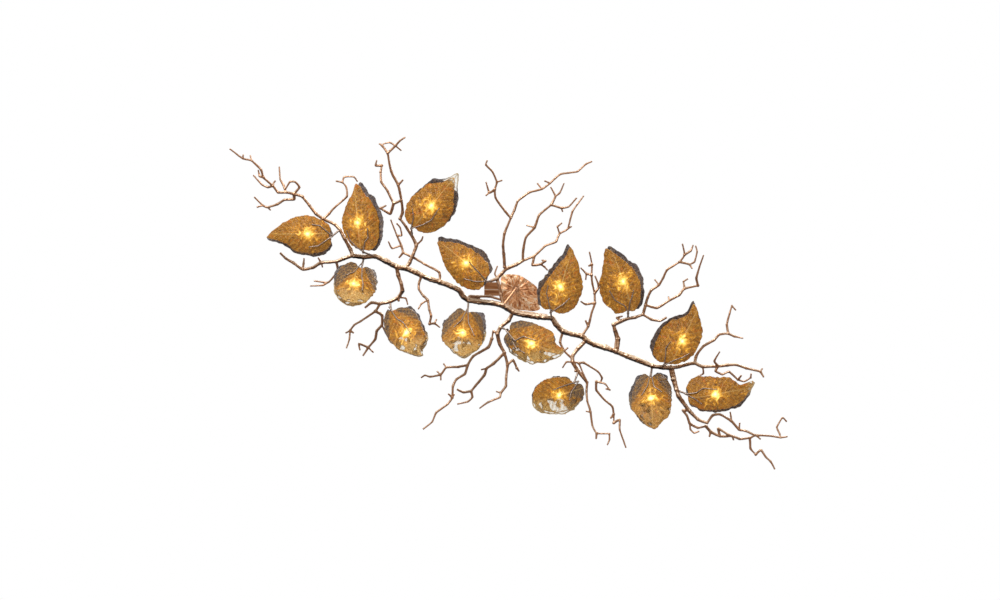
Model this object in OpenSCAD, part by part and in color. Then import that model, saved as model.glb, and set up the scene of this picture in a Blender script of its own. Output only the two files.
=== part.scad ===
// Branch chandelier: a ceiling light of forked bronze wood, with pairs of amber
// glass leaves, each pair round one push-in capsule lamp.
// Origin: the hanging rod's axis on the ceiling plane. +Z is up, the crown hangs below,
// X runs along the crown and Y across it.

/* [Crown] */
// Length of the whole crown between its outermost twig tips
crown_l = 1500; // [1380:10:1620]
// Drop of the main stem's axis below the ceiling, at the hanging rod
stem_drop = 82; // [80:1:100]

/* [Wood] */
// Diameter of the main stem
stem_d = 15; // [13:0.5:17]
// Diameter of a bough where it leaves the stem
bough_d = 10.5; // [9:0.5:12]
// Diameter of a branchlet
branchlet_d = 7.5; // [6.5:0.5:9]
// Diameter of a twig
twig_d = 5.6; // [4.8:0.2:6.4]
// Diameter of a twig's tip
tip_d = 3.8; // [3:0.2:4.6]
// Size of a knot against the wood that it sits on
knot_swell = 1.2; // [1.1:0.05:1.4]

/* [Leaf shades] */
// Thickness of a glass leaf
glass_t = 3; // [2.5:0.25:4]
// Space between the two glass leaves of a shade, at the lamp
crown_gap = 44; // [40:1:50]
// Radius of a leaf's bend from notch to tip
bend_l = 430; // [380:10:520]
// Radius of a leaf's bend from side to side
bend_w = 95; // [85:1:110]

/* [Claws] */
// Diameter of the short stem that carries a shade
stalk_d = 7; // [6:0.5:8]
// Diameter of a claw's prongs
prong_d = 4.4; // [3.8:0.2:5]
// Diameter of the arm between the glass leaves
arm_d = 5; // [4:0.5:6]

/* [Lamps and holders] */
// Diameter of the lamp's glass capsule
bulb_d = 11; // [9:0.5:12]
// Length of the capsule
bulb_l = 24; // [20:1:28]
// Width of the flat pinch below the capsule
pinch_w = 8.5; // [7:0.5:9]
// Thickness of the pinch
pinch_t = 3.6; // [3:0.2:4]
// Length of the pinch
pinch_l = 6; // [5:0.5:8]
// Diameter of a lamp pin
pin_d = 0.75; // [0.65:0.05:1]
// Length of a lamp pin
pin_l = 7.5; // [6:0.5:8]
// Distance between the two pins
pin_pitch = 4; // [4:0.5:5]
// Radial clearance of a pin in its hole
pin_play = 0.08; // [0.05:0.01:0.1]
// Diameter of the lamp holder
holder_d = 13; // [11:0.5:14]
// Length of the lamp holder
holder_l = 15; // [13:0.5:18]

/* [Ceiling parts] */
// Distance between the two ceiling screws
screw_pitch = 56; // [52:1:58]
// Diameter of a ceiling screw's hole
screw_hole_d = 5; // [4.5:0.5:6]
// Thickness of the steel strap
strap_t = 3; // [2:0.5:4]
// Width of the steel strap
strap_w = 20; // [18:1:24]
// Diameter of the hanging rod
rod_d = 10; // [9:0.5:11]
// Bore of the hanging rod
rod_bore = 6; // [5:0.5:7]
// Radial clearance of the cover and its nut on the rod
rod_play = 0.1; // [0.08:0.01:0.1]
// Height of the canopy cover below the ceiling
cover_h = 30; // [28:1:31]
// Wall of the canopy cover
cover_t = 3; // [2:0.5:4]
// Height of a pleat in the cover
pleat_h = 2.5; // [1:0.25:3]
// Diameter of the nut under the cover
nut_d = 19; // [17:0.5:22]
// Height of the nut
nut_h = 6; // [5:0.5:7]
// Length of the driver box
box_l = 43; // [36:1:46]
// Width of the driver box
box_w = 37; // [32:1:44]
// Height of the driver box
box_h = 24; // [20:1:27]

/* [Hidden] */
SHADES = 14;

function shade_name(stem, i) = str(stem, i < 9 ? "0" : "", i + 1);
function unit(v) = v / norm(v);
function flat(p) = [p.x, p.y];

// The routes were laid out on a crown of this length.
LAYOUT_L = 1500;
grow = crown_l / LAYOUT_L;

// ---- Wood -------------------------------------------------------------------
// Thickness classes: a row below names the class at its start and at its end.
STEM = 0;
BOUGH = 1;
BRANCHLET = 2;
TWIG = 3;
TIP = 4;
WOOD_D = [stem_d, bough_d, branchlet_d, twig_d, tip_d];

// The main stem's axis: X, Y, and height over the axis at the rod.
STEM_AXIS = [
    [-440, -90, -16], [-410, -86, -15], [-380, -88, -13], [-350, -75, -10], [-322, -60, -7],
    [-298, -56, -5], [-270, -45, -3], [-255, -37, -2], [-230, -27, -2], [-205, -19, 0],
    [-175, -7, 1], [-155, 2, 2], [-142, 20, 2], [-128, 30, 2], [-100, 34, 3], [-65, 38, 3],
    [-35, 45, 2], [-8, 62, 2], [20, 70, 2], [60, 75, 1], [97, 79, 0], [108, 95, -1],
    [127, 114, -3], [150, 121, -4], [178, 127, -5], [190, 138, -6], [212, 150, -7],
    [240, 158, -8], [270, 168, -10], [300, 181, -10], [330, 192, -11], [367, 207, -12],
    [395, 211, -13], [418, 213, -14]];
STEM_ROUTE = [for (p = STEM_AXIS) [p.x * grow, p.y * grow, p.z * grow - stem_drop]];

// Each row is one shoot: its rise from start to end, its thickness class at the start
// and at the end, and its points in X and Y. It starts on the nearest point of an
// earlier shoot. A row with one point is a spur.
STEM_SHOOTS = [
    [-14, BOUGH, TWIG, [[440, 209], [462, 203], [482, 200], [503, 209], [545, 208], [570, 205],
        [592, 204], [620, 213], [658, 222]]],
    [-6, TWIG, TIP, [[667, 238]]],
    [5, TIP, TIP, [[664, 214]]],
    [16, BRANCHLET, TWIG, [[485, 184], [492, 170], [507, 153], [535, 137], [548, 123],
        [573, 120]]],
    [-8, TWIG, TIP, [[590, 128], [613, 133]]],
    [10, TWIG, TIP, [[569, 96], [577, 65], [583, 45]]],
    [-4, TIP, TIP, [[594, 58]]],
    [-26, TWIG, TIP, [[534, 194], [548, 168]]],
    [-6, TWIG, TIP, [[538, 221], [556, 230], [574, 223], [598, 244], [615, 249], [632, 239]]],
    [6, TIP, TIP, [[505, 228], [487, 237]]],
    [-10, TWIG, TIP, [[607, 232]]],
    [-5, TIP, TIP, [[633, 227]]],
    [3, BRANCHLET, TWIG, [[-125, 20], [-100, 20], [-72, 20], [-38, 30]]],
    [3, BRANCHLET, TWIG, [[-30, 42], [5, 60], [45, 66], [85, 71]]],
    [-18, TWIG, TWIG, [[-262, -15], [-262, 0], [-250, 18], [-238, 30], [-234, 55], [-229, 72],
        [-233, 94]]],
    [-4, TIP, TIP, [[-255, 40], [-264, 55]]],
    [12, TWIG, TIP, [[-220, 93], [-205, 104]]],
    [3, TIP, TIP, [[-214, 81]]],
    [4, TWIG, TIP, [[195, 100], [205, 62], [213, 38], [212, 12], [206, -15], [204, -38],
        [205, -66], [198, -101]]],
    [3, TWIG, TIP, [[190, -42], [174, -58]]],
    [-3, TIP, TIP, [[188, -24]]],
    [3, TWIG, TIP, [[188, 41], [174, 33]]],
    [-3, TWIG, TIP, [[187, 84]]],
    [6, TWIG, TIP, [[223, -3], [221, -16], [213, -36]]],
    [2, TWIG, TIP, [[195, -62]]]];

UPPER_LEFT = [
    [22, BOUGH, BRANCHLET, [[-447, -108], [-462, -135], [-475, -160], [-490, -175],
        [-520, -189], [-540, -204], [-558, -226], [-577, -250]]],
    [-25, BRANCHLET, TIP, [[-600, -257], [-621, -261], [-642, -261], [-656, -278], [-681, -301],
        [-688, -322], [-713, -346], [-737, -352], [-772, -378]]],
    [4, TIP, TIP, [[-717, -361]]],
    [-4, TIP, TIP, [[-735, -363]]],
    [8, TWIG, TIP, [[-692, -305], [-696, -322]]],
    [12, TWIG, TIP, [[-670, -275], [-686, -282], [-710, -308]]],
    [5, TWIG, TIP, [[-654, -287]]],
    [18, TWIG, TIP, [[-628, -280], [-637, -297], [-640, -331]]],
    [-4, TIP, TIP, [[-649, -293]]],
    [-8, TWIG, TIP, [[-585, -275], [-596, -289], [-610, -289], [-622, -270]]],
    [15, BRANCHLET, TIP, [[-600, -243], [-626, -241], [-645, -229], [-672, -221], [-684, -226],
        [-708, -249]]],
    [-5, TIP, TIP, [[-701, -221]]],
    [-3, TWIG, TIP, [[-644, -261]]],
    [4, TIP, TIP, [[-663, -213]]],
    [14, TWIG, TIP, [[-504, -204], [-490, -220], [-457, -250], [-459, -277], [-469, -288]]],
    [-4, TIP, TIP, [[-487, -292]]],
    [6, TIP, TIP, [[-464, -303], [-438, -303], [-428, -290]]],
    [18, BOUGH, TWIG, [[-465, -82], [-485, -74], [-525, -71], [-548, -58], [-575, -53],
        [-600, -70], [-622, -83], [-637, -98]]],
    [3, TWIG, TIP, [[-573, -70], [-572, -84]]],
    [-5, TWIG, TIP, [[-534, -85]]],
    [4, TIP, TIP, [[-522, -58]]],
    [14, TWIG, TIP, [[-481, -57], [-484, -44], [-507, -18], [-546, -22]]],
    [-4, TIP, TIP, [[-522, -10], [-556, -8]]]];

LEFT_RISING = [
    [10, BOUGH, BRANCHLET, [[-287, -72], [-277, -95], [-269, -118], [-280, -142], [-298, -170],
        [-313, -190]]],
    [-22, BRANCHLET, TWIG, [[-306, -207], [-309, -240], [-318, -280], [-337, -318],
        [-346, -366]]],
    [5, TWIG, TIP, [[-361, -387], [-370, -392]]],
    [-6, TWIG, TIP, [[-325, -386], [-312, -400], [-298, -409]]],
    [4, TIP, TIP, [[-309, -373]]],
    [3, TIP, TIP, [[-340, -395], [-359, -391]]],
    [-5, TWIG, TIP, [[-304, -295]]],
    [20, TWIG, TWIG, [[-330, -232], [-347, -265], [-364, -290], [-366, -316]]],
    [3, TWIG, TIP, [[-363, -334]]],
    [-4, TWIG, TIP, [[-379, -334], [-376, -349]]],
    [8, BRANCHLET, TWIG, [[-340, -204], [-366, -218]]],
    [4, TWIG, TIP, [[-350, -226]]],
    [2, TIP, TIP, [[-255, -132], [-251, -143]]],
    [14, TWIG, TWIG, [[-208, -46], [-245, -66], [-275, -84], [-305, -98]]],
    [5, TWIG, TIP, [[-310, -118], [-322, -145], [-339, -188]]],
    [-6, TIP, TIP, [[-335, -110], [-345, -129]]],
    [-5, TIP, TIP, [[-309, -145], [-313, -166], [-323, -178]]],
    [3, TWIG, TIP, [[-317, -84]]]];

LEFT_FALLING = [
    [10, BOUGH, BOUGH, [[-318, -38], [-310, -15], [-307, 5], [-318, 23], [-340, 34],
        [-367, 40]]],
    [-3, TWIG, TWIG, [[-316, 34]]],
    [-8, BRANCHLET, TWIG, [[-390, 37], [-408, 51]]],
    [4, TIP, TIP, [[-298, 25], [-292, 43]]],
    [-30, TWIG, TIP, [[-380, 60], [-418, 86], [-436, 97], [-447, 112], [-449, 135],
        [-457, 160]]],
    [-4, TWIG, TIP, [[-437, 119]]],
    [3, TIP, TIP, [[-460, 119]]],
    [14, BRANCHLET, TWIG, [[-362, 70], [-362, 97], [-376, 113], [-380, 135], [-399, 158]]],
    [-4, TWIG, TIP, [[-414, 181]]],
    [4, TIP, TIP, [[-385, 172]]],
    [-6, TWIG, TIP, [[-424, 148], [-421, 166]]],
    [5, TIP, TIP, [[-352, 118], [-345, 131]]]];

CENTRE_RISING = [
    [6, BRANCHLET, BOUGH, [[-41, 15], [-46, -12], [-51, -28], [-38, -42], [-25, -55], [0, -66],
        [18, -76]]],
    [-4, TWIG, TWIG, [[-31, -60]]],
    [-22, BOUGH, BRANCHLET, [[-69, -21]]],
    [10, TIP, TIP, [[-57, -42], [-50, -63]]],
    [-20, BRANCHLET, TWIG, [[-33, -95], [-35, -118], [-31, -150], [-14, -192]]],
    [-22, TWIG, TIP, [[-30, -210], [-55, -245], [-57, -268], [-52, -288], [-63, -315],
        [-81, -334], [-77, -347]]],
    [4, TIP, TIP, [[-37, -293]]],
    [8, TWIG, TIP, [[-72, -260], [-81, -289]]],
    [-4, TIP, TIP, [[-82, -251]]],
    [25, TWIG, TIP, [[-4, -213], [5, -237], [35, -260], [70, -270], [92, -286], [120, -310],
        [165, -317], [188, -337], [206, -345]]],
    [4, TIP, TIP, [[57, -286]]],
    [-4, TIP, TIP, [[76, -292]]],
    [-18, TWIG, TWIG, [[20, -108], [27, -140], [50, -166], [63, -200], [95, -227]]],
    [5, TIP, TIP, [[28, -172]]],
    [6, TWIG, TIP, [[106, -250], [93, -276]]],
    [-6, TIP, TIP, [[118, -259], [130, -286]]],
    [-10, TWIG, TIP, [[122, -219], [142, -222], [164, -246]]],
    [4, TIP, TIP, [[126, -208]]],
    [22, TWIG, TIP, [[50, -90], [80, -117], [108, -128], [118, -150], [140, -163], [153, -210],
        [184, -253]]],
    [-4, TIP, TIP, [[112, -169]]],
    [4, TIP, TIP, [[125, -179]]],
    [3, TIP, TIP, [[151, -170]]],
    [-10, TWIG, TWIG, [[45, -65], [66, -67], [80, -76]]],
    [3, TIP, TIP, [[69, -78]]],
    [2, TIP, TIP, [[77, -60], [86, -50]]]];

CENTRE_FALLING = [
    [-4, BOUGH, BOUGH, [[-20, 85], [-42, 104], [-50, 122], [-44, 148], [-31, 172]]],
    [6, TWIG, TIP, [[-61, 114], [-65, 134]]],
    [-30, BRANCHLET, TIP, [[-75, 157], [-115, 181], [-130, 205], [-138, 229], [-160, 243],
        [-170, 262], [-172, 293], [-185, 311], [-215, 333], [-226, 358], [-251, 378]]],
    [18, TWIG, TIP, [[-155, 210], [-188, 212], [-203, 231], [-232, 237], [-246, 233],
        [-257, 240]]],
    [4, TIP, TIP, [[-196, 201]]],
    [-4, TIP, TIP, [[-203, 247]]],
    [3, TIP, TIP, [[-214, 222]]],
    [-3, TWIG, TIP, [[-183, 282]]],
    [14, BRANCHLET, TWIG, [[-60, 201], [-79, 214], [-85, 232], [-110, 262], [-121, 276]]],
    [-4, TIP, TIP, [[-95, 218]]],
    [8, TWIG, TWIG, [[-142, 279], [-160, 271]]],
    [-3, TIP, TIP, [[-166, 283]]],
    [-6, TWIG, TIP, [[-118, 292], [-130, 304], [-159, 311]]],
    [-22, BRANCHLET, TIP, [[-23, 205], [-27, 240], [-27, 262], [-41, 280], [-44, 292],
        [-75, 305], [-99, 322]]],
    [4, TIP, TIP, [[-54, 276]]],
    [6, TWIG, TWIG, [[-8, 192], [2, 213]]],
    [-3, TWIG, TIP, [[9, 223]]]];

MIDDLE_FALLING = [
    [-10, BOUGH, BOUGH, [[168, 160], [153, 180], [153, 197], [168, 222], [192, 252]]],
    [-4, TWIG, TWIG, [[119, 143], [130, 167], [150, 187]]],
    [5, TIP, TIP, [[141, 158]]],
    [-5, TIP, TIP, [[136, 197], [125, 213]]],
    [-3, BRANCHLET, TWIG, [[157, 221]]],
    [-6, TIP, TIP, [[169, 200], [181, 228], [192, 250]]],
    [16, TWIG, TIP, [[183, 199], [220, 222], [232, 240], [228, 252]]],
    [-12, TWIG, TIP, [[217, 250], [240, 256], [253, 272]]],
    [4, TIP, TIP, [[242, 269]]],
    [10, TWIG, TIP, [[217, 273], [240, 300], [260, 317], [264, 338], [264, 362]]],
    [-3, TWIG, TIP, [[255, 350]]],
    [-16, TWIG, TIP, [[280, 353], [280, 380], [297, 429]]],
    [-28, TWIG, TIP, [[190, 275], [192, 302], [201, 332], [205, 366], [217, 388], [251, 389]]],
    [-4, TWIG, TIP, [[215, 404]]],
    [-5, TIP, TIP, [[251, 405], [245, 420]]],
    [3, TIP, TIP, [[188, 329]]]];

RIGHT_RISING = [
    [-4, STEM, BOUGH, [[274, 135], [267, 112], [263, 96]]],
    [-6, BOUGH, BRANCHLET, [[285, 86], [302, 80], [322, 76], [342, 69]]],
    [6, TWIG, TIP, [[272, 78], [288, 73]]],
    [-30, BRANCHLET, TIP, [[349, 43], [355, 22], [364, 4], [385, -11], [396, -30], [407, -52],
        [440, -73], [453, -92], [447, -122]]],
    [5, TIP, TIP, [[373, -26]]],
    [8, TWIG, TIP, [[470, -103], [477, -119]]],
    [-6, TWIG, TIP, [[466, -66], [474, -54]]],
    [10, TIP, TIP, [[480, -73], [487, -100], [483, -117]]],
    [20, TWIG, TWIG, [[380, 51], [413, 31], [440, 16], [455, -1], [491, -9]]],
    [-10, TWIG, TIP, [[487, -30], [495, -60], [506, -92]]],
    [4, TIP, TIP, [[411, 20]]],
    [3, TWIG, TIP, [[452, -20]]],
    [-4, TIP, TIP, [[465, -28]]],
    [-8, TWIG, TWIG, [[365, 82], [388, 86], [406, 76]]]];

RIGHT_FALLING = [
    [-16, STEM, BRANCHLET, [[425, 243], [433, 272], [439, 290], [467, 328], [490, 351],
        [514, 361]]],
    [10, TWIG, TWIG, [[450, 327], [461, 342], [468, 362], [490, 374], [512, 370]]],
    [-6, TIP, TIP, [[470, 378], [480, 388], [494, 383]]],
    [-22, BRANCHLET, TIP, [[525, 385], [550, 397], [582, 396], [603, 404], [630, 401],
        [645, 394], [688, 396], [712, 400], [731, 397]]],
    [-3, TWIG, TIP, [[521, 399]]],
    [3, TIP, TIP, [[587, 408]]],
    [3, TIP, TIP, [[710, 390]]],
    [-10, TWIG, TWIG, [[545, 376], [570, 391], [602, 403]]],
    [-14, TWIG, TWIG, [[530, 340], [550, 338], [580, 356], [600, 378], [618, 382], [644, 394]]],
    [4, TIP, TIP, [[578, 342], [576, 330]]],
    [-4, TIP, TIP, [[602, 359]]],
    [8, TWIG, TIP, [[632, 430], [646, 446]]],
    [-12, TWIG, TIP, [[660, 434], [673, 453], [686, 465], [697, 486]]],
    [-3, TIP, TIP, [[659, 405]]],
    [14, TIP, TIP, [[703, 372], [718, 347], [730, 358]]]];

// The points of finished routes and the one among them that lies nearest to p.
function nearest(p, routes) =
    let (points = [for (r = routes) each r],
         gaps = [for (q = points) norm(flat(q) - flat(p))])
    points[search(min(gaps), gaps)[0]];

// A shoot's own route: it rises evenly, with a small zigzag in height.
ZIGZAG = 1.5;
ZIGZAG_TURN = 110;
function shoot_route(row, start) =
    let (points = row[3], n = len(points))
    concat([start], [for (k = [1 : n])
        [points[k - 1].x * grow, points[k - 1].y * grow,
         start.z + grow * (row[0] * k / n + ZIGZAG * sin(ZIGZAG_TURN * k))]]);
function grow_routes(rows, routes, i = 0) =
    i == len(rows) ? routes
    : let (start = nearest(grow * rows[i][3][0], routes))
      grow_routes(rows, concat(routes, [shoot_route(rows[i], start)]), i + 1);

// Rings of a swept tube. It bulges a little from ring to ring, as wood does.
BULGE = 0.08;
BULGE_TURN = 137;
TIP_TAPER = 0.7;
function tangent(route, k) = unit(route[min(k + 1, len(route) - 1)] - route[max(k - 1, 0)]);
RING_UP = unit([0.3, 0.2, 1]);
function ring(centre, along, r, sides, top) =
    let (side = unit(cross(top, along)), up = cross(along, side))
    [for (a = [0 : sides - 1]) let (t = 360 * a / sides)
        centre + r * (cos(t) * side + sin(t) * up)];
function wood_r(d0, d1, k, n) =
    0.5 * (d0 + (d1 - d0) * k / n) * (1 + BULGE * sin(BULGE_TURN * k))
    * (k == n ? TIP_TAPER : 1);
function tube_faces(rings, sides) = concat(
    [[for (a = [0 : sides - 1]) a]],
    [for (k = [0 : rings - 2]) for (a = [0 : sides - 1])
        let (b = (a + 1) % sides, low = k * sides, high = low + sides)
        each [[low + a, high + a, high + b], [low + a, high + b, low + b]]],
    [[for (a = [sides - 1 : -1 : 0]) (rings - 1) * sides + a]]);

module tube(route, radii, sides, top = RING_UP) {
    polyhedron(points = [for (k = [0 : len(route) - 1])
                   each ring(route[k], tangent(route, k), radii[k], sides, top)],
               faces = tube_faces(len(route), sides));
}

// A knot: a lump over the fork where a shoot starts.
module knot(p, d, turn) {
    translate(p) rotate([turn, turn / 2, turn]) hull() sphere(d = d * sqrt(2), $fn = 4);
}

THICK_SIDES = 6;
THIN_SIDES = 5;
TIP_SIDES = 4;
module shoot(row, route, turn) {
    n = len(route) - 1;
    d0 = WOOD_D[row[1]];
    tube(route, [for (k = [0 : n]) wood_r(d0, WOOD_D[row[2]], k, n)],
         row[1] <= BOUGH ? THICK_SIDES : row[1] == TIP ? TIP_SIDES : THIN_SIDES);
    if (row[1] < TIP) knot(route[0], d0 * knot_swell, turn);
}

STEM_TURN = 84;
BOUGH_TURNS = [140, 63, 84, 21, 56, 77, 21, 35];
// All shoots of one bough, which starts on the main stem. Its knots are turned by turn.
module bough(rows, turn) {
    routes = grow_routes(rows, [STEM_ROUTE]);
    color("sienna") union() for (i = [0 : len(rows) - 1])
        shoot(rows[i], routes[i + 1], turn + BULGE_TURN * i);
}

module main_stem() {
    n = len(STEM_ROUTE) - 1;
    routes = grow_routes(STEM_SHOOTS, [STEM_ROUTE]);
    color("saddlebrown") union() {
        tube(STEM_ROUTE, [for (k = [0 : n]) 0.5 * stem_d * (k < 3 || k > n - 2 ? 0.85
             : 1 + BULGE * sin(BULGE_TURN * k))], THICK_SIDES);
        for (i = [0 : len(STEM_SHOOTS) - 1])
            shoot(STEM_SHOOTS[i], routes[i + 1], STEM_TURN + BULGE_TURN * i);
    }
}

// ---- Leaf shades ------------------------------------------------------------
// Each row: the lamp's place in X and Y, the height of the shade's middle over the stem's
// axis, its tilt (below zero the tip hangs), the shift of the rear leaf in X and Y,
// the point of the wood that carries it, and its outline as seen from below.
// An outline starts at the notch over the stalk and runs round by way of the tip,
// which is its eighth point.
LAMP_AT = 0;
HEIGHT = 1;
TILT = 2;
SHIFT = 3;
CARRIER = 4;
PRONGS = 5;
OUTLINE = 6;
TIP_POINT = 7;
LEAVES = [
    [[-560, -148], -30, -8, [2, 5], [-470, -150],
     [[[-512, -157], [-528, -170], [-548, -173]], [[-515, -128], [-532, -116], [-556, -113]]],
     [[-502, -142], [-498, -160], [-508, -177], [-535, -192], [-565, -198], [-600, -192],
      [-635, -172], [-669, -140], [-640, -130], [-615, -118], [-595, -103], [-560, -95],
      [-520, -100], [-499, -118]]],
    [[-426, -178], -28, 4, [9, -2], [-384, -88],
     [[[-407, -125], [-398, -138], [-400, -162]], [[-428, -112], [-446, -130], [-455, -156]]],
     [[-412, -105], [-388, -105], [-371, -130], [-367, -165], [-372, -202], [-388, -235],
      [-410, -262], [-430, -286], [-442, -255], [-458, -224], [-469, -190], [-466, -155],
      [-450, -126], [-430, -108]]],
    [[-228, -224], -30, -5, [8, -8], [-284, -150],
     [[[-276, -190], [-278, -214]], [[-250, -173], [-228, -185], [-207, -217]]],
     [[-278, -168], [-250, -150], [-215, -156], [-185, -180], [-170, -212], [-167, -245],
      [-165, -275], [-167, -301], [-200, -287], [-235, -284], [-262, -264], [-288, -240],
      [-300, -210], [-297, -184]]],
    [[-135, -70], -27, 3, [5, -7], [-69, -21],
     [[[-98, -42], [-110, -55], [-126, -72]], [[-108, -20], [-140, -27]]],
     [[-84, -24], [-70, -46], [-82, -78], [-105, -98], [-130, -113], [-158, -124],
      [-185, -127], [-212, -129], [-203, -95], [-192, -62], [-170, -28], [-140, -4],
      [-108, 5], [-88, -7]]],
    [[120, -5], -30, 0, [-7, -6], [97, 79],
     [[[88, 38], [82, 10], [86, -8]], [[116, 48], [128, 40], [143, 26]]],
     [[95, 58], [124, 68], [150, 58], [168, 34], [180, 2], [177, -35], [165, -76],
      [147, -112], [130, -84], [106, -57], [84, -27], [68, 0], [64, 30], [75, 54]]],
    [[288, -20], -26, -4, [9, -4], [302, 80],
     [[[293, 46], [266, 30], [252, 6]], [[306, 38], [312, 20], [316, 4]]],
     [[300, 60], [322, 56], [335, 28], [333, -18], [316, -54], [290, -78], [262, -98],
      [240, -111], [236, -82], [230, -48], [223, -5], [231, 28], [250, 50], [273, 67]]],
    [[446, 140], -36, -5, [-3, -4], [395, 211],
     [[[402, 176], [403, 158], [414, 143]], [[425, 192], [447, 184], [465, 174]]],
     [[401, 199], [430, 203], [460, 192], [481, 173], [497, 143], [502, 110], [493, 75],
      [478, 40], [462, 66], [438, 79], [412, 86], [385, 113], [366, 150], [374, 187]]],
    [[535, 283], -38, -8, [2, 5], [433, 272],
     [[[484, 279], [503, 267], [538, 270]], [[478, 294], [498, 308]]],
     [[463, 281], [464, 302], [480, 315], [510, 326], [545, 326], [585, 316], [615, 293],
      [638, 247], [606, 258], [575, 239], [540, 236], [505, 234], [475, 238], [458, 260]]],
    [[-435, -15], -60, -45, [-4, 0], [-402, -88],
     [[[-436, -44], [-456, -37]], [[-414, -32], [-410, -14], [-412, 2]]],
     [[-417, -52], [-440, -71], [-467, -64], [-482, -41], [-485, -8], [-475, 15],
      [-455, 32], [-432, 38], [-405, 33], [-388, 18], [-374, -5], [-373, -34],
      [-384, -53], [-403, -58]]],
    [[-295, 117], -62, -36, [2, 0], [-340, 34],
     [[[-320, 80], [-303, 90], [-283, 118]]],
     [[-334, 61], [-348, 58], [-357, 85], [-354, 115], [-338, 140], [-315, 160],
      [-285, 172], [-254, 177], [-257, 155], [-240, 131], [-250, 105], [-262, 75],
      [-285, 50], [-315, 50]]],
    [[-143, 117], -62, -45, [3, 0], [-128, 30],
     [[[-146, 84], [-166, 102]], [[-128, 90], [-112, 125]]],
     [[-131, 66], [-152, 53], [-178, 70], [-197, 95], [-199, 128], [-182, 152],
      [-160, 170], [-142, 178], [-120, 168], [-100, 155], [-88, 128], [-85, 100],
      [-92, 73], [-112, 62]]],
    [[42, 147], -45, -20, [-2, 4], [-42, 104],
     [[[-4, 138], [20, 128], [52, 138]], [[0, 158], [22, 172]]],
     [[-18, 112], [-32, 130], [-22, 150], [-5, 172], [25, 191], [65, 195], [100, 181],
      [127, 165], [108, 146], [98, 118], [75, 103], [45, 91], [10, 83], [-15, 95]]],
    [[115, 285], -62, -38, [0, 3], [168, 222],
     [[[148, 276], [142, 298]], [[122, 262], [102, 270]]],
     [[152, 253], [140, 236], [118, 234], [97, 236], [78, 243], [62, 255], [53, 268],
      [46, 283], [51, 310], [80, 327], [120, 331], [155, 318], [182, 287], [175, 258]]],
    [[361, 292], -64, -44, [-3, 0], [367, 207],
     [[[370, 262], [390, 276]], [[352, 262], [337, 284]]],
     [[364, 241], [346, 229], [325, 247], [311, 275], [309, 315], [328, 340], [350, 361],
      [370, 367], [388, 352], [410, 330], [417, 300], [418, 265], [408, 238], [385, 226]]]];

// A shade's frame: U to the tip, W to the front, V across, at the lamp's centre.
function tip_way(i) = unit(LEAVES[i][OUTLINE][TIP_POINT] - LEAVES[i][OUTLINE][0]);
function axis_u(i) = let (w = tip_way(i), t = LEAVES[i][TILT]) [w.x * cos(t), w.y * cos(t), sin(t)];
function axis_v(i) = let (w = tip_way(i)) [w.y, -w.x, 0];
function axis_w(i) = cross(axis_u(i), axis_v(i));
function centre(i) = [LEAVES[i][LAMP_AT].x * grow, LEAVES[i][LAMP_AT].y * grow,
                      LEAVES[i][HEIGHT] * grow - stem_drop];
// The place on the shade's middle plane that lies over q, as lengths along U and V
function on_plane(i, q) =
    let (d = q - LEAVES[i][LAMP_AT])
    grow * [d * tip_way(i) / cos(LEAVES[i][TILT]), d * flat(axis_v(i))];
function place(i, a, b, h) = centre(i) + a * axis_u(i) + b * axis_v(i) + h * axis_w(i);
// Moves its children, drawn with U, V and W as X, Y and Z, into shade i
module in_shade(i) {
    u = axis_u(i);
    v = axis_v(i);
    w = axis_w(i);
    p = centre(i);
    multmatrix([[u.x, v.x, w.x, p.x], [u.y, v.y, w.y, p.y], [u.z, v.z, w.z, p.z], [0, 0, 0, 1]])
        children();
}

// Height over the middle plane of a leaf's face, which lies d outside its inner face. The
// leaf bends both ways, as a patch of a large ring does.
bend_ring = bend_l - bend_w;
function face_h(p, d) = crown_gap / 2 - bend_l
    + sqrt(pow(bend_ring + sqrt(pow(bend_w + d, 2) - p[1] * p[1]), 2) - p[0] * p[0]);

// A closed smooth curve through the outline's points
function spline(p0, p1, p2, p3, t) =
    0.5 * (2 * p1 + (p2 - p0) * t + (2 * p0 - 5 * p1 + 4 * p2 - p3) * t * t
           + (3 * p1 - p0 - 3 * p2 + p3) * t * t * t);
SPLIT = 2;
function smooth_outline(points) =
    let (n = len(points))
    [for (k = [0 : n - 1]) for (s = [0 : SPLIT - 1])
        spline(points[(k + n - 1) % n], points[k], points[(k + 1) % n], points[(k + 2) % n],
               s / SPLIT)];

// A glass leaf: side is 1 for the front one and -1 for the rear one. The front leaf of a
// tilted shade is set along it, so that its outline as seen from below is the given one.
SLIP_H = 15;
function leaf_outline(i, side) =
    let (shift = side > 0 ? [0, 0] : LEAVES[i][SHIFT],
         slip = [(side > 0 ? -SLIP_H : SLIP_H / 2) * tan(LEAVES[i][TILT]), 0])
    [for (q = smooth_outline(LEAVES[i][OUTLINE])) on_plane(i, q + shift) + slip];

module bend(d) {
    translate([bend_ring, 0]) circle(r = bend_w + d, $fn = 128);
}
module glass(i, side) {
    in_shade(i) mirror([0, 0, side > 0 ? 0 : 1]) intersection() {
        linear_extrude(height = crown_gap) polygon(leaf_outline(i, side));
        translate([0, 0, crown_gap / 2 - bend_l]) rotate([90, 0, 0])
            rotate_extrude($fn = 256) difference() {
                bend(glass_t);
                bend(0);
            }
    }
}

module front_glass(i) { color("goldenrod") glass(i, 1); }
module rear_glass(i) { color("dimgray") glass(i, -1); }

// ---- Lamps and holders --------------------------------------------------------
bulb_end = -bulb_l / 2;                    // where the capsule meets the pinch, along U
pinch_end = bulb_end - pinch_l;
PINCH_GAP = 0.3;
holder_face = pinch_end - PINCH_GAP;
holder_back = holder_face - holder_l;
HOLE_SPARE = 1;
ARM_INSERT = 4;

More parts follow.
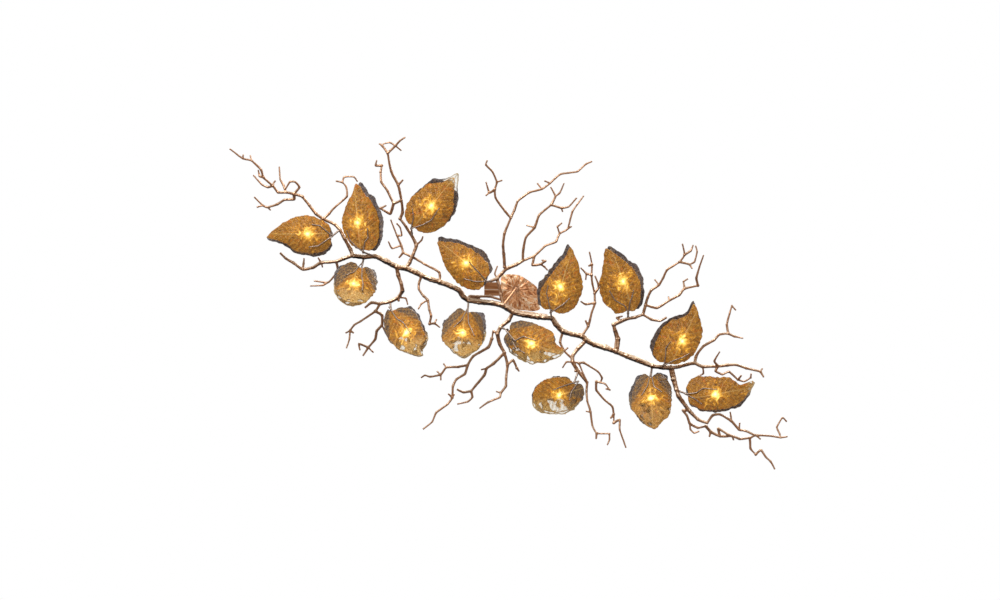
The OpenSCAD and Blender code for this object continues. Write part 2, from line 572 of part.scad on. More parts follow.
// Stands its children, drawn along Z, along U at the place a of shade i
module along_u(i, a) {
    in_shade(i) translate([a, 0, 0]) rotate([90, 0, 90]) children();
}

module lamp(i) {
    color("lemonchiffon") along_u(i, pinch_end) {
        translate([-pinch_w / 2, -pinch_t / 2, 0]) cube([pinch_w, pinch_t, pinch_l]);
        translate([0, 0, pinch_l]) cylinder(d = bulb_d, h = bulb_l - bulb_d / 2, $fn = 48);
        translate([0, 0, pinch_l + bulb_l - bulb_d / 2]) sphere(d = bulb_d, $fn = 48);
        for (s = [-1, 1]) translate([s * pin_pitch / 2, 0, -pin_l])
            cylinder(d = pin_d, h = pin_l, $fn = 24);
    }
}

module lamp_holder(i) {
    hole_l = pin_l + HOLE_SPARE;
    along_u(i, holder_back) difference() {
        cylinder(d = holder_d, h = holder_l, $fn = 48);
        for (s = [-1, 1]) translate([s * pin_pitch / 2, 0, holder_l - hole_l])
            cylinder(d = pin_d + 2 * pin_play, h = hole_l + 1, $fn = 24);
    }
}
module lamp_holders() {
    color("ivory") for (i = [0 : SHADES - 1]) lamp_holder(i);
}

// ---- Claws --------------------------------------------------------------------
// A prong lies on the outside of the glass and is bedded into it a little. Seen from
// below, its point lies at q.
BED = 0.4;
prong_out = glass_t + prong_d / 2 - BED;
function over_glass(i, q, side) =
    let (p = on_plane(i, q),
         seen = [p[0] - side * face_h(p, prong_out) * tan(LEAVES[i][TILT]), p[1]])
    place(i, seen[0], seen[1], side * face_h(seen, prong_out));
// The points and the middles between them
function halved(points) = [for (k = [0 : len(points) - 1]) each
    k == 0 ? [points[0]] : [(points[k - 1] + points[k]) / 2, points[k]]];

// The claw's root lies just outside the notch, in the shade's middle plane.
ROOT_OUT = 6;
function root_plane(i) = on_plane(i, LEAVES[i][OUTLINE][0]) - [ROOT_OUT, 0];
function root_at(i, h) = let (r = root_plane(i)) place(i, r[0], r[1], h);

WOOD_ROUTES = concat([STEM_ROUTE],
    [for (rows = [UPPER_LEFT, LEFT_RISING, LEFT_FALLING, CENTRE_RISING, CENTRE_FALLING,
                  MIDDLE_FALLING, RIGHT_RISING, RIGHT_FALLING])
        each grow_routes(rows, [STEM_ROUTE])]);

PRONG_SIDES = 4;
ROOT_SWELL = 1.6;
REAR_REACH = 0.55;
function prong_bend(i, side) = root_at(i, side * face_h(root_plane(i), prong_out));
module prong(i, points, side, post) {
    route = concat(post ? [root_at(i, 0)] : [], [prong_bend(i, side)],
                   [for (q = halved(points)) over_glass(i, q, side)]);
    n = len(route) - 1;
    tube(route, [for (k = [0 : n]) prong_d / 2], PRONG_SIDES, unit(axis_u(i) - side * axis_w(i)));
    knot(route[n], prong_d * knot_swell, BULGE_TURN * n);
}

module claw(i) {
    carrier = nearest(grow * LEAVES[i][CARRIER], WOOD_ROUTES);
    notch = LEAVES[i][OUTLINE][0];
    arm_end = holder_back + ARM_INSERT;
    middle = (root_plane(i) + [arm_end, 0]) / 2;
    rear_point = notch + REAR_REACH * (LEAVES[i][LAMP_AT] - notch);
    tube([carrier, root_at(i, 0)], [stalk_d / 2, stalk_d / 2], PRONG_SIDES);
    tube([root_at(i, 0), place(i, middle[0], middle[1] / 2, 0), place(i, arm_end, 0, 0)],
         [for (k = [0 : 2]) arm_d / 2], PRONG_SIDES);
    knot(root_at(i, 0), stalk_d * ROOT_SWELL, BULGE_TURN * i);
    knot(prong_bend(i, 1), prong_d * ROOT_SWELL, BULGE_TURN * i);
    for (k = [0 : len(LEAVES[i][PRONGS]) - 1]) prong(i, LEAVES[i][PRONGS][k], 1, k == 0);
    prong(i, [rear_point], -1, true);
}
LEFT_SHADES = [0, 1, 2, 3, 8, 9, 10];
RIGHT_SHADES = [4, 5, 6, 7, 11, 12, 13];
module leaf_claws(shades) {
    color("rosybrown") union() for (i = shades) claw(i);
}

// ---- Ceiling parts --------------------------------------------------------------
CUT = 1;                                   // how far a cut runs past a face
strap_right = screw_pitch / 2 + strap_w / 2;
BOX_X = -86;                               // left end of the strap and of the driver box
boss_h = 8;
boss_d = rod_d + 8;
SMALL_SCREW_D = 3;
SMALL_HEAD_D = 6;
SMALL_HEAD_H = 1.5;
SMALL_SCREW_L = 9;
THREAD = 0.1;                              // how far a thread bites into its hole
box_screw_y = box_w / 4;

module at_box_screws() {
    for (s = [-1, 1]) translate([BOX_X + box_l / 2, s * box_screw_y, 0]) children();
}
module small_screw(more) {
    translate([0, 0, -SMALL_SCREW_L]) cylinder(d = SMALL_SCREW_D + more, h = SMALL_SCREW_L, $fn = 32);
    translate([0, 0, -SMALL_HEAD_H])
        cylinder(d1 = SMALL_SCREW_D + more, d2 = SMALL_HEAD_D + more, h = SMALL_HEAD_H, $fn = 32);
}

module ceiling_bracket() {
    color("silver") difference() {
        union() {
            translate([BOX_X, -box_w / 2, -strap_t]) cube([box_l, box_w, strap_t]);
            translate([BOX_X, -strap_w / 2, -strap_t])
                cube([strap_right - strap_w / 2 - BOX_X, strap_w, strap_t]);
            translate([strap_right - strap_w / 2, 0, -strap_t])
                cylinder(d = strap_w, h = strap_t, $fn = 64);
            translate([0, 0, -strap_t - boss_h])
                cylinder(d = boss_d, h = boss_h + strap_t / 2, $fn = 64);
        }
        for (s = [-1, 1]) translate([s * screw_pitch / 2, 0, -strap_t - CUT])
            cylinder(d = screw_hole_d, h = strap_t + 2 * CUT, $fn = 48);
        translate([0, 0, -strap_t - boss_h - CUT])
            cylinder(d = rod_d + 2 * rod_play, h = boss_h + CUT, $fn = 64);
        at_box_screws() small_screw(-THREAD);
    }
}

module fixing_screws() {
    color("gray") at_box_screws() small_screw(0);
}

// The driver box hangs under the strap's end. Its mains inlet is in the end face.
INLET_D = 8;
INLET_L = 12;
LID_GROOVE = 1;
module driver_box() {
    color("chocolate") difference() {
        translate([BOX_X, -box_w / 2, -strap_t - box_h]) cube([box_l, box_w, box_h]);
        translate([BOX_X - CUT, 0, -strap_t - box_h / 2]) rotate([0, 90, 0])
            cylinder(d = INLET_D, h = INLET_L + CUT, $fn = 48);
        for (s = [-1, 1]) translate([BOX_X - CUT, s * (box_w / 2 + CUT - LID_GROOVE) - CUT,
                                     -strap_t - box_h + 2 * LID_GROOVE])
            cube([box_l + 2 * CUT, 2 * CUT, LID_GROOVE]);
        at_box_screws() small_screw(-THREAD);
    }
}

// The rod screws into the bracket's boss. Its bent end runs down to the main stem.
rod_top = -strap_t;
ELBOW_Z = -62;
ELBOW_SWELL = 1.15;
ARM_D = 9;
ARM_STEM = 16;                             // the point of the stem's axis that the arm meets
module hanging_rod() {
    elbow = [0, 0, ELBOW_Z];
    way = STEM_ROUTE[ARM_STEM] - elbow;
    color("peru") difference() {
        union() {
            translate(elbow) cylinder(d = rod_d, h = rod_top - ELBOW_Z, $fn = 64);
            translate(elbow) sphere(d = rod_d * ELBOW_SWELL, $fn = 48);
            translate(elbow) rotate([0, acos(way.z / norm(way)), atan2(way.y, way.x)])
                cylinder(d = ARM_D, h = norm(way), $fn = 48);
        }
        translate([0, 0, ELBOW_Z + rod_d]) cylinder(d = rod_bore, h = rod_top - ELBOW_Z, $fn = 48);
    }
}

// The canopy cover: a pleated lily leaf, hollowed as a cup, that closes on the ceiling.
COVER_OUTLINE = [[-40, -33], [-30, -39], [-10, -40], [10, -37], [25, -29], [40, -19], [53, -9],
    [58, -2], [60, 10], [60, 25], [63, 40], [65, 54], [50, 60], [25, 58], [0, 55], [-20, 45],
    [-32, 35], [-40, 20]];
COVER_TOP = -0.5;                          // the joint between the cover and the ceiling
COVER_BEND = 150;
COVER_MID = [8, 10];
PLEATS = 14;
PLEAT_D = 9;
PLEAT_L = 70;
PLEAT_FROM = 20;                           // distance of a pleat's start from the rod's axis
PLEAT_FALL = 15;                           // slope of a pleat towards the ceiling
PLEAT_DRIFT = 0.25;
SLOT_PLAY = 1;
function cover_inner(t) = [for (p = COVER_OUTLINE) p - t * unit(p - COVER_MID)];
function cover_z(r) = COVER_BEND - cover_h - sqrt(COVER_BEND * COVER_BEND - r * r);
module pleat() {
    translate([PLEAT_FROM, 0, cover_z(PLEAT_FROM) - pleat_h + PLEAT_D / 2])
        rotate([0, 90 - PLEAT_FALL, 0]) cylinder(d = PLEAT_D, h = PLEAT_L, $fn = 32);
}
module canopy_cover() {
    low = -cover_h - pleat_h - CUT;
    color("peru") difference() {
        intersection() {
            translate([0, 0, low]) linear_extrude(height = COVER_TOP - low) polygon(COVER_OUTLINE);
            union() {
                translate([0, 0, COVER_BEND - cover_h]) sphere(r = COVER_BEND, $fn = 256);
                for (k = [0 : PLEATS - 1])
                    rotate([0, 0, 360 * (k + PLEAT_DRIFT * sin(BULGE_TURN * k)) / PLEATS]) pleat();
            }
        }
        intersection() {
            translate([0, 0, low]) linear_extrude(height = -low) polygon(cover_inner(cover_t * 1.3));
            translate([0, 0, COVER_BEND - cover_h]) sphere(r = COVER_BEND - cover_t, $fn = 256);
        }
        translate([BOX_X, -strap_w / 2 - SLOT_PLAY, -strap_t - SLOT_PLAY])
            cube([-BOX_X - strap_w, strap_w + 2 * SLOT_PLAY, strap_t + SLOT_PLAY + CUT]);
        translate([0, 0, low]) cylinder(d = rod_d + 2 * rod_play, h = cover_h, $fn = 64);
    }
}

// The nut under the cover, with a ring of grips
GRIPS = 12;
GRIP_D = 3;
module cover_nut() {
    color("peru") translate([0, 0, -cover_h - nut_h]) difference() {
        cylinder(d = nut_d, h = nut_h, $fn = 64);
        translate([0, 0, -CUT]) cylinder(d = rod_d + 2 * rod_play, h = nut_h + 2 * CUT, $fn = 64);
        for (k = [0 : GRIPS - 1]) rotate([0, 0, 360 * k / GRIPS])
            translate([nut_d / 2 + GRIP_D / 4, 0, -CUT]) cylinder(d = GRIP_D, h = nut_h + 2 * CUT, $fn = 24);
    }
}

main_stem();
bough(UPPER_LEFT, BOUGH_TURNS[0]);  // bough_upper_left
bough(LEFT_RISING, BOUGH_TURNS[1]);  // bough_left_rising
bough(LEFT_FALLING, BOUGH_TURNS[2]);  // bough_left_falling
bough(CENTRE_RISING, BOUGH_TURNS[3]);  // bough_centre_rising
bough(CENTRE_FALLING, BOUGH_TURNS[4]);  // bough_centre_falling
bough(MIDDLE_FALLING, BOUGH_TURNS[5]);  // bough_middle_falling
bough(RIGHT_RISING, BOUGH_TURNS[6]);  // bough_right_rising
bough(RIGHT_FALLING, BOUGH_TURNS[7]);  // bough_right_falling
leaf_claws(LEFT_SHADES);  // leaf_claws_left
leaf_claws(RIGHT_SHADES);  // leaf_claws_right
lamp_holders();
ceiling_bracket();
hanging_rod();
canopy_cover();
cover_nut();
driver_box();
fixing_screws();
for (i = [0 : SHADES - 1]) {
    front_glass(i);
    rear_glass(i);
    lamp(i);
}
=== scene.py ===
"""A branch chandelier, seen from below: a cast branch with claws that hold pairs of glass
leaves, each pair round a lamp. Tables and formulas are in millimetres, and what is built
is in metres."""
import math

import bpy
import numpy as np
from mathutils import Matrix, Vector, kdtree, noise


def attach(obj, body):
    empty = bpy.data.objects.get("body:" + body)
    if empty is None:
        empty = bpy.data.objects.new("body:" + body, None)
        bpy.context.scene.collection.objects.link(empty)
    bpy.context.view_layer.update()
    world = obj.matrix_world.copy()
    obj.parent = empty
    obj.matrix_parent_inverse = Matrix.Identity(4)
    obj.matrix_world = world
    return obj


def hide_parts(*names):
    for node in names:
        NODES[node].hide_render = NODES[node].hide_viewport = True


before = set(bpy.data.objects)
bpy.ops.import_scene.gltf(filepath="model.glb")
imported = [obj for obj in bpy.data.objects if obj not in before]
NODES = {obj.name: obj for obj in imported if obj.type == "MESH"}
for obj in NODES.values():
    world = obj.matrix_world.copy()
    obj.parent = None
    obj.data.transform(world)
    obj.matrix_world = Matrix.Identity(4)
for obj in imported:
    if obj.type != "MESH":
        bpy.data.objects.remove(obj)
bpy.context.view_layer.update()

MM = 0.001

# ---- Shapes shared with the part's source ----
STEM_D = 15
STEM_DROP = 82
STEM = 0
BOUGH = 1
BRANCHLET = 2
TWIG = 3
TIP = 4
WOOD_D = [STEM_D, 10.5, 7.5, 5.6, 3.8]

# The main stem's axis: X, Y, and height over the axis at the rod.
STEM_AXIS = [
    [-440, -90, -16], [-410, -86, -15], [-380, -88, -13], [-350, -75, -10], [-322, -60, -7],
    [-298, -56, -5], [-270, -45, -3], [-255, -37, -2], [-230, -27, -2], [-205, -19, 0],
    [-175, -7, 1], [-155, 2, 2], [-142, 20, 2], [-128, 30, 2], [-100, 34, 3], [-65, 38, 3],
    [-35, 45, 2], [-8, 62, 2], [20, 70, 2], [60, 75, 1], [97, 79, 0], [108, 95, -1],
    [127, 114, -3], [150, 121, -4], [178, 127, -5], [190, 138, -6], [212, 150, -7],
    [240, 158, -8], [270, 168, -10], [300, 181, -10], [330, 192, -11], [367, 207, -12],
    [395, 211, -13], [418, 213, -14]]
STEM_ROUTE = [(x, y, z - STEM_DROP) for x, y, z in STEM_AXIS]

# Each row is one shoot: its rise from start to end, its thickness class at the start
# and at the end, and then its points in X and Y. It starts on the nearest point of
# an earlier shoot.
STEM_SHOOTS = [
    [-14, BOUGH, TWIG, [440, 209], [462, 203], [482, 200], [503, 209], [545, 208], [570, 205],
        [592, 204], [620, 213], [658, 222]],
    [-6, TWIG, TIP, [667, 238]],
    [5, TIP, TIP, [664, 214]],
    [16, BRANCHLET, TWIG, [485, 184], [492, 170], [507, 153], [535, 137], [548, 123], [573, 120]],
    [-8, TWIG, TIP, [590, 128], [613, 133]],
    [10, TWIG, TIP, [569, 96], [577, 65], [583, 45]],
    [-4, TIP, TIP, [594, 58]],
    [-26, TWIG, TIP, [534, 194], [548, 168]],
    [-6, TWIG, TIP, [538, 221], [556, 230], [574, 223], [598, 244], [615, 249], [632, 239]],
    [6, TIP, TIP, [505, 228], [487, 237]],
    [-10, TWIG, TIP, [607, 232]],
    [-5, TIP, TIP, [633, 227]],
    [3, BRANCHLET, TWIG, [-125, 20], [-100, 20], [-72, 20], [-38, 30]],
    [3, BRANCHLET, TWIG, [-30, 42], [5, 60], [45, 66], [85, 71]],
    [-18, TWIG, TWIG, [-262, -15], [-262, 0], [-250, 18], [-238, 30], [-234, 55], [-229, 72],
        [-233, 94]],
    [-4, TIP, TIP, [-255, 40], [-264, 55]],
    [12, TWIG, TIP, [-220, 93], [-205, 104]],
    [3, TIP, TIP, [-214, 81]],
    [4, TWIG, TIP, [195, 100], [205, 62], [213, 38], [212, 12], [206, -15], [204, -38], [205, -66],
        [198, -101]],
    [3, TWIG, TIP, [190, -42], [174, -58]],
    [-3, TIP, TIP, [188, -24]],
    [3, TWIG, TIP, [188, 41], [174, 33]],
    [-3, TWIG, TIP, [187, 84]],
    [6, TWIG, TIP, [223, -3], [221, -16], [213, -36]],
    [2, TWIG, TIP, [195, -62]]]

BOUGHS = {}
BOUGHS["upper_left"] = [
    [22, BOUGH, BRANCHLET, [-447, -108], [-462, -135], [-475, -160], [-490, -175], [-520, -189],
        [-540, -204], [-558, -226], [-577, -250]],
    [-25, BRANCHLET, TIP, [-600, -257], [-621, -261], [-642, -261], [-656, -278], [-681, -301],
        [-688, -322], [-713, -346], [-737, -352], [-772, -378]],
    [4, TIP, TIP, [-717, -361]],
    [-4, TIP, TIP, [-735, -363]],
    [8, TWIG, TIP, [-692, -305], [-696, -322]],
    [12, TWIG, TIP, [-670, -275], [-686, -282], [-710, -308]],
    [5, TWIG, TIP, [-654, -287]],
    [18, TWIG, TIP, [-628, -280], [-637, -297], [-640, -331]],
    [-4, TIP, TIP, [-649, -293]],
    [-8, TWIG, TIP, [-585, -275], [-596, -289], [-610, -289], [-622, -270]],
    [15, BRANCHLET, TIP, [-600, -243], [-626, -241], [-645, -229], [-672, -221], [-684, -226],
        [-708, -249]],
    [-5, TIP, TIP, [-701, -221]],
    [-3, TWIG, TIP, [-644, -261]],
    [4, TIP, TIP, [-663, -213]],
    [14, TWIG, TIP, [-504, -204], [-490, -220], [-457, -250], [-459, -277], [-469, -288]],
    [-4, TIP, TIP, [-487, -292]],
    [6, TIP, TIP, [-464, -303], [-438, -303], [-428, -290]],
    [18, BOUGH, TWIG, [-465, -82], [-485, -74], [-525, -71], [-548, -58], [-575, -53], [-600, -70],
        [-622, -83], [-637, -98]],
    [3, TWIG, TIP, [-573, -70], [-572, -84]],
    [-5, TWIG, TIP, [-534, -85]],
    [4, TIP, TIP, [-522, -58]],
    [14, TWIG, TIP, [-481, -57], [-484, -44], [-507, -18], [-546, -22]],
    [-4, TIP, TIP, [-522, -10], [-556, -8]]]

BOUGHS["left_rising"] = [
    [10, BOUGH, BRANCHLET, [-287, -72], [-277, -95], [-269, -118], [-280, -142], [-298, -170],
        [-313, -190]],
    [-22, BRANCHLET, TWIG, [-306, -207], [-309, -240], [-318, -280], [-337, -318], [-346, -366]],
    [5, TWIG, TIP, [-361, -387], [-370, -392]],
    [-6, TWIG, TIP, [-325, -386], [-312, -400], [-298, -409]],
    [4, TIP, TIP, [-309, -373]],
    [3, TIP, TIP, [-340, -395], [-359, -391]],
    [-5, TWIG, TIP, [-304, -295]],
    [20, TWIG, TWIG, [-330, -232], [-347, -265], [-364, -290], [-366, -316]],
    [3, TWIG, TIP, [-363, -334]],
    [-4, TWIG, TIP, [-379, -334], [-376, -349]],
    [8, BRANCHLET, TWIG, [-340, -204], [-366, -218]],
    [4, TWIG, TIP, [-350, -226]],
    [2, TIP, TIP, [-255, -132], [-251, -143]],
    [14, TWIG, TWIG, [-208, -46], [-245, -66], [-275, -84], [-305, -98]],
    [5, TWIG, TIP, [-310, -118], [-322, -145], [-339, -188]],
    [-6, TIP, TIP, [-335, -110], [-345, -129]],
    [-5, TIP, TIP, [-309, -145], [-313, -166], [-323, -178]],
    [3, TWIG, TIP, [-317, -84]]]

BOUGHS["left_falling"] = [
    [10, BOUGH, BOUGH, [-318, -38], [-310, -15], [-307, 5], [-318, 23], [-340, 34], [-367, 40]],
    [-3, TWIG, TWIG, [-316, 34]],
    [-8, BRANCHLET, TWIG, [-390, 37], [-408, 51]],
    [4, TIP, TIP, [-298, 25], [-292, 43]],
    [-30, TWIG, TIP, [-380, 60], [-418, 86], [-436, 97], [-447, 112], [-449, 135], [-457, 160]],
    [-4, TWIG, TIP, [-437, 119]],
    [3, TIP, TIP, [-460, 119]],
    [14, BRANCHLET, TWIG, [-362, 70], [-362, 97], [-376, 113], [-380, 135], [-399, 158]],
    [-4, TWIG, TIP, [-414, 181]],
    [4, TIP, TIP, [-385, 172]],
    [-6, TWIG, TIP, [-424, 148], [-421, 166]],
    [5, TIP, TIP, [-352, 118], [-345, 131]]]

BOUGHS["centre_rising"] = [
    [6, BRANCHLET, BOUGH, [-41, 15], [-46, -12], [-51, -28], [-38, -42], [-25, -55], [0, -66],
        [18, -76]],
    [-4, TWIG, TWIG, [-31, -60]],
    [-22, BOUGH, BRANCHLET, [-69, -21]],
    [10, TIP, TIP, [-57, -42], [-50, -63]],
    [-20, BRANCHLET, TWIG, [-33, -95], [-35, -118], [-31, -150], [-14, -192]],
    [-22, TWIG, TIP, [-30, -210], [-55, -245], [-57, -268], [-52, -288], [-63, -315], [-81, -334],
        [-77, -347]],
    [4, TIP, TIP, [-37, -293]],
    [8, TWIG, TIP, [-72, -260], [-81, -289]],
    [-4, TIP, TIP, [-82, -251]],
    [25, TWIG, TIP, [-4, -213], [5, -237], [35, -260], [70, -270], [92, -286], [120, -310], [165, -317],
        [188, -337], [206, -345]],
    [4, TIP, TIP, [57, -286]],
    [-4, TIP, TIP, [76, -292]],
    [-18, TWIG, TWIG, [20, -108], [27, -140], [50, -166], [63, -200], [95, -227]],
    [5, TIP, TIP, [28, -172]],
    [6, TWIG, TIP, [106, -250], [93, -276]],
    [-6, TIP, TIP, [118, -259], [130, -286]],
    [-10, TWIG, TIP, [122, -219], [142, -222], [164, -246]],
    [4, TIP, TIP, [126, -208]],
    [22, TWIG, TIP, [50, -90], [80, -117], [108, -128], [118, -150], [140, -163], [153, -210],
        [184, -253]],
    [-4, TIP, TIP, [112, -169]],
    [4, TIP, TIP, [125, -179]],
    [3, TIP, TIP, [151, -170]],
    [-10, TWIG, TWIG, [45, -65], [66, -67], [80, -76]],
    [3, TIP, TIP, [69, -78]],
    [2, TIP, TIP, [77, -60], [86, -50]]]

BOUGHS["centre_falling"] = [
    [-4, BOUGH, BOUGH, [-20, 85], [-42, 104], [-50, 122], [-44, 148], [-31, 172]],
    [6, TWIG, TIP, [-61, 114], [-65, 134]],
    [-30, BRANCHLET, TIP, [-75, 157], [-115, 181], [-130, 205], [-138, 229], [-160, 243], [-170, 262],
        [-172, 293], [-185, 311], [-215, 333], [-226, 358], [-251, 378]],
    [18, TWIG, TIP, [-155, 210], [-188, 212], [-203, 231], [-232, 237], [-246, 233], [-257, 240]],
    [4, TIP, TIP, [-196, 201]],
    [-4, TIP, TIP, [-203, 247]],
    [3, TIP, TIP, [-214, 222]],
    [-3, TWIG, TIP, [-183, 282]],
    [14, BRANCHLET, TWIG, [-60, 201], [-79, 214], [-85, 232], [-110, 262], [-121, 276]],
    [-4, TIP, TIP, [-95, 218]],
    [8, TWIG, TWIG, [-142, 279], [-160, 271]],
    [-3, TIP, TIP, [-166, 283]],
    [-6, TWIG, TIP, [-118, 292], [-130, 304], [-159, 311]],
    [-22, BRANCHLET, TIP, [-23, 205], [-27, 240], [-27, 262], [-41, 280], [-44, 292], [-75, 305],
        [-99, 322]],
    [4, TIP, TIP, [-54, 276]],
    [6, TWIG, TWIG, [-8, 192], [2, 213]],
    [-3, TWIG, TIP, [9, 223]]]

BOUGHS["middle_falling"] = [
    [-10, BOUGH, BOUGH, [168, 160], [153, 180], [153, 197], [168, 222], [192, 252]],
    [-4, TWIG, TWIG, [119, 143], [130, 167], [150, 187]],
    [5, TIP, TIP, [141, 158]],
    [-5, TIP, TIP, [136, 197], [125, 213]],
    [-3, BRANCHLET, TWIG, [157, 221]],
    [-6, TIP, TIP, [169, 200], [181, 228], [192, 250]],
    [16, TWIG, TIP, [183, 199], [220, 222], [232, 240], [228, 252]],
    [-12, TWIG, TIP, [217, 250], [240, 256], [253, 272]],
    [4, TIP, TIP, [242, 269]],
    [10, TWIG, TIP, [217, 273], [240, 300], [260, 317], [264, 338], [264, 362]],
    [-3, TWIG, TIP, [255, 350]],
    [-16, TWIG, TIP, [280, 353], [280, 380], [297, 429]],
    [-28, TWIG, TIP, [190, 275], [192, 302], [201, 332], [205, 366], [217, 388], [251, 389]],
    [-4, TWIG, TIP, [215, 404]],
    [-5, TIP, TIP, [251, 405], [245, 420]],
    [3, TIP, TIP, [188, 329]]]

BOUGHS["right_rising"] = [
    [-4, STEM, BOUGH, [274, 135], [267, 112], [263, 96]],
    [-6, BOUGH, BRANCHLET, [285, 86], [302, 80], [322, 76], [342, 69]],
    [6, TWIG, TIP, [272, 78], [288, 73]],
    [-30, BRANCHLET, TIP, [349, 43], [355, 22], [364, 4], [385, -11], [396, -30], [407, -52], [440, -73],
        [453, -92], [447, -122]],
    [5, TIP, TIP, [373, -26]],
    [8, TWIG, TIP, [470, -103], [477, -119]],
    [-6, TWIG, TIP, [466, -66], [474, -54]],
    [10, TIP, TIP, [480, -73], [487, -100], [483, -117]],
    [20, TWIG, TWIG, [380, 51], [413, 31], [440, 16], [455, -1], [491, -9]],
    [-10, TWIG, TIP, [487, -30], [495, -60], [506, -92]],
    [4, TIP, TIP, [411, 20]],
    [3, TWIG, TIP, [452, -20]],
    [-4, TIP, TIP, [465, -28]],
    [-8, TWIG, TWIG, [365, 82], [388, 86], [406, 76]]]

BOUGHS["right_falling"] = [
    [-16, STEM, BRANCHLET, [425, 243], [433, 272], [439, 290], [467, 328], [490, 351], [514, 361]],
    [10, TWIG, TWIG, [450, 327], [461, 342], [468, 362], [490, 374], [512, 370]],
    [-6, TIP, TIP, [470, 378], [480, 388], [494, 383]],
    [-22, BRANCHLET, TIP, [525, 385], [550, 397], [582, 396], [603, 404], [630, 401], [645, 394],
        [688, 396], [712, 400], [731, 397]],
    [-3, TWIG, TIP, [521, 399]],
    [3, TIP, TIP, [587, 408]],
    [3, TIP, TIP, [710, 390]],
    [-10, TWIG, TWIG, [545, 376], [570, 391], [602, 403]],
    [-14, TWIG, TWIG, [530, 340], [550, 338], [580, 356], [600, 378], [618, 382], [644, 394]],
    [4, TIP, TIP, [578, 342], [576, 330]],
    [-4, TIP, TIP, [602, 359]],
    [8, TWIG, TIP, [632, 430], [646, 446]],
    [-12, TWIG, TIP, [660, 434], [673, 453], [686, 465], [697, 486]],
    [-3, TIP, TIP, [659, 405]],
    [14, TIP, TIP, [703, 372], [718, 347], [730, 358]]]

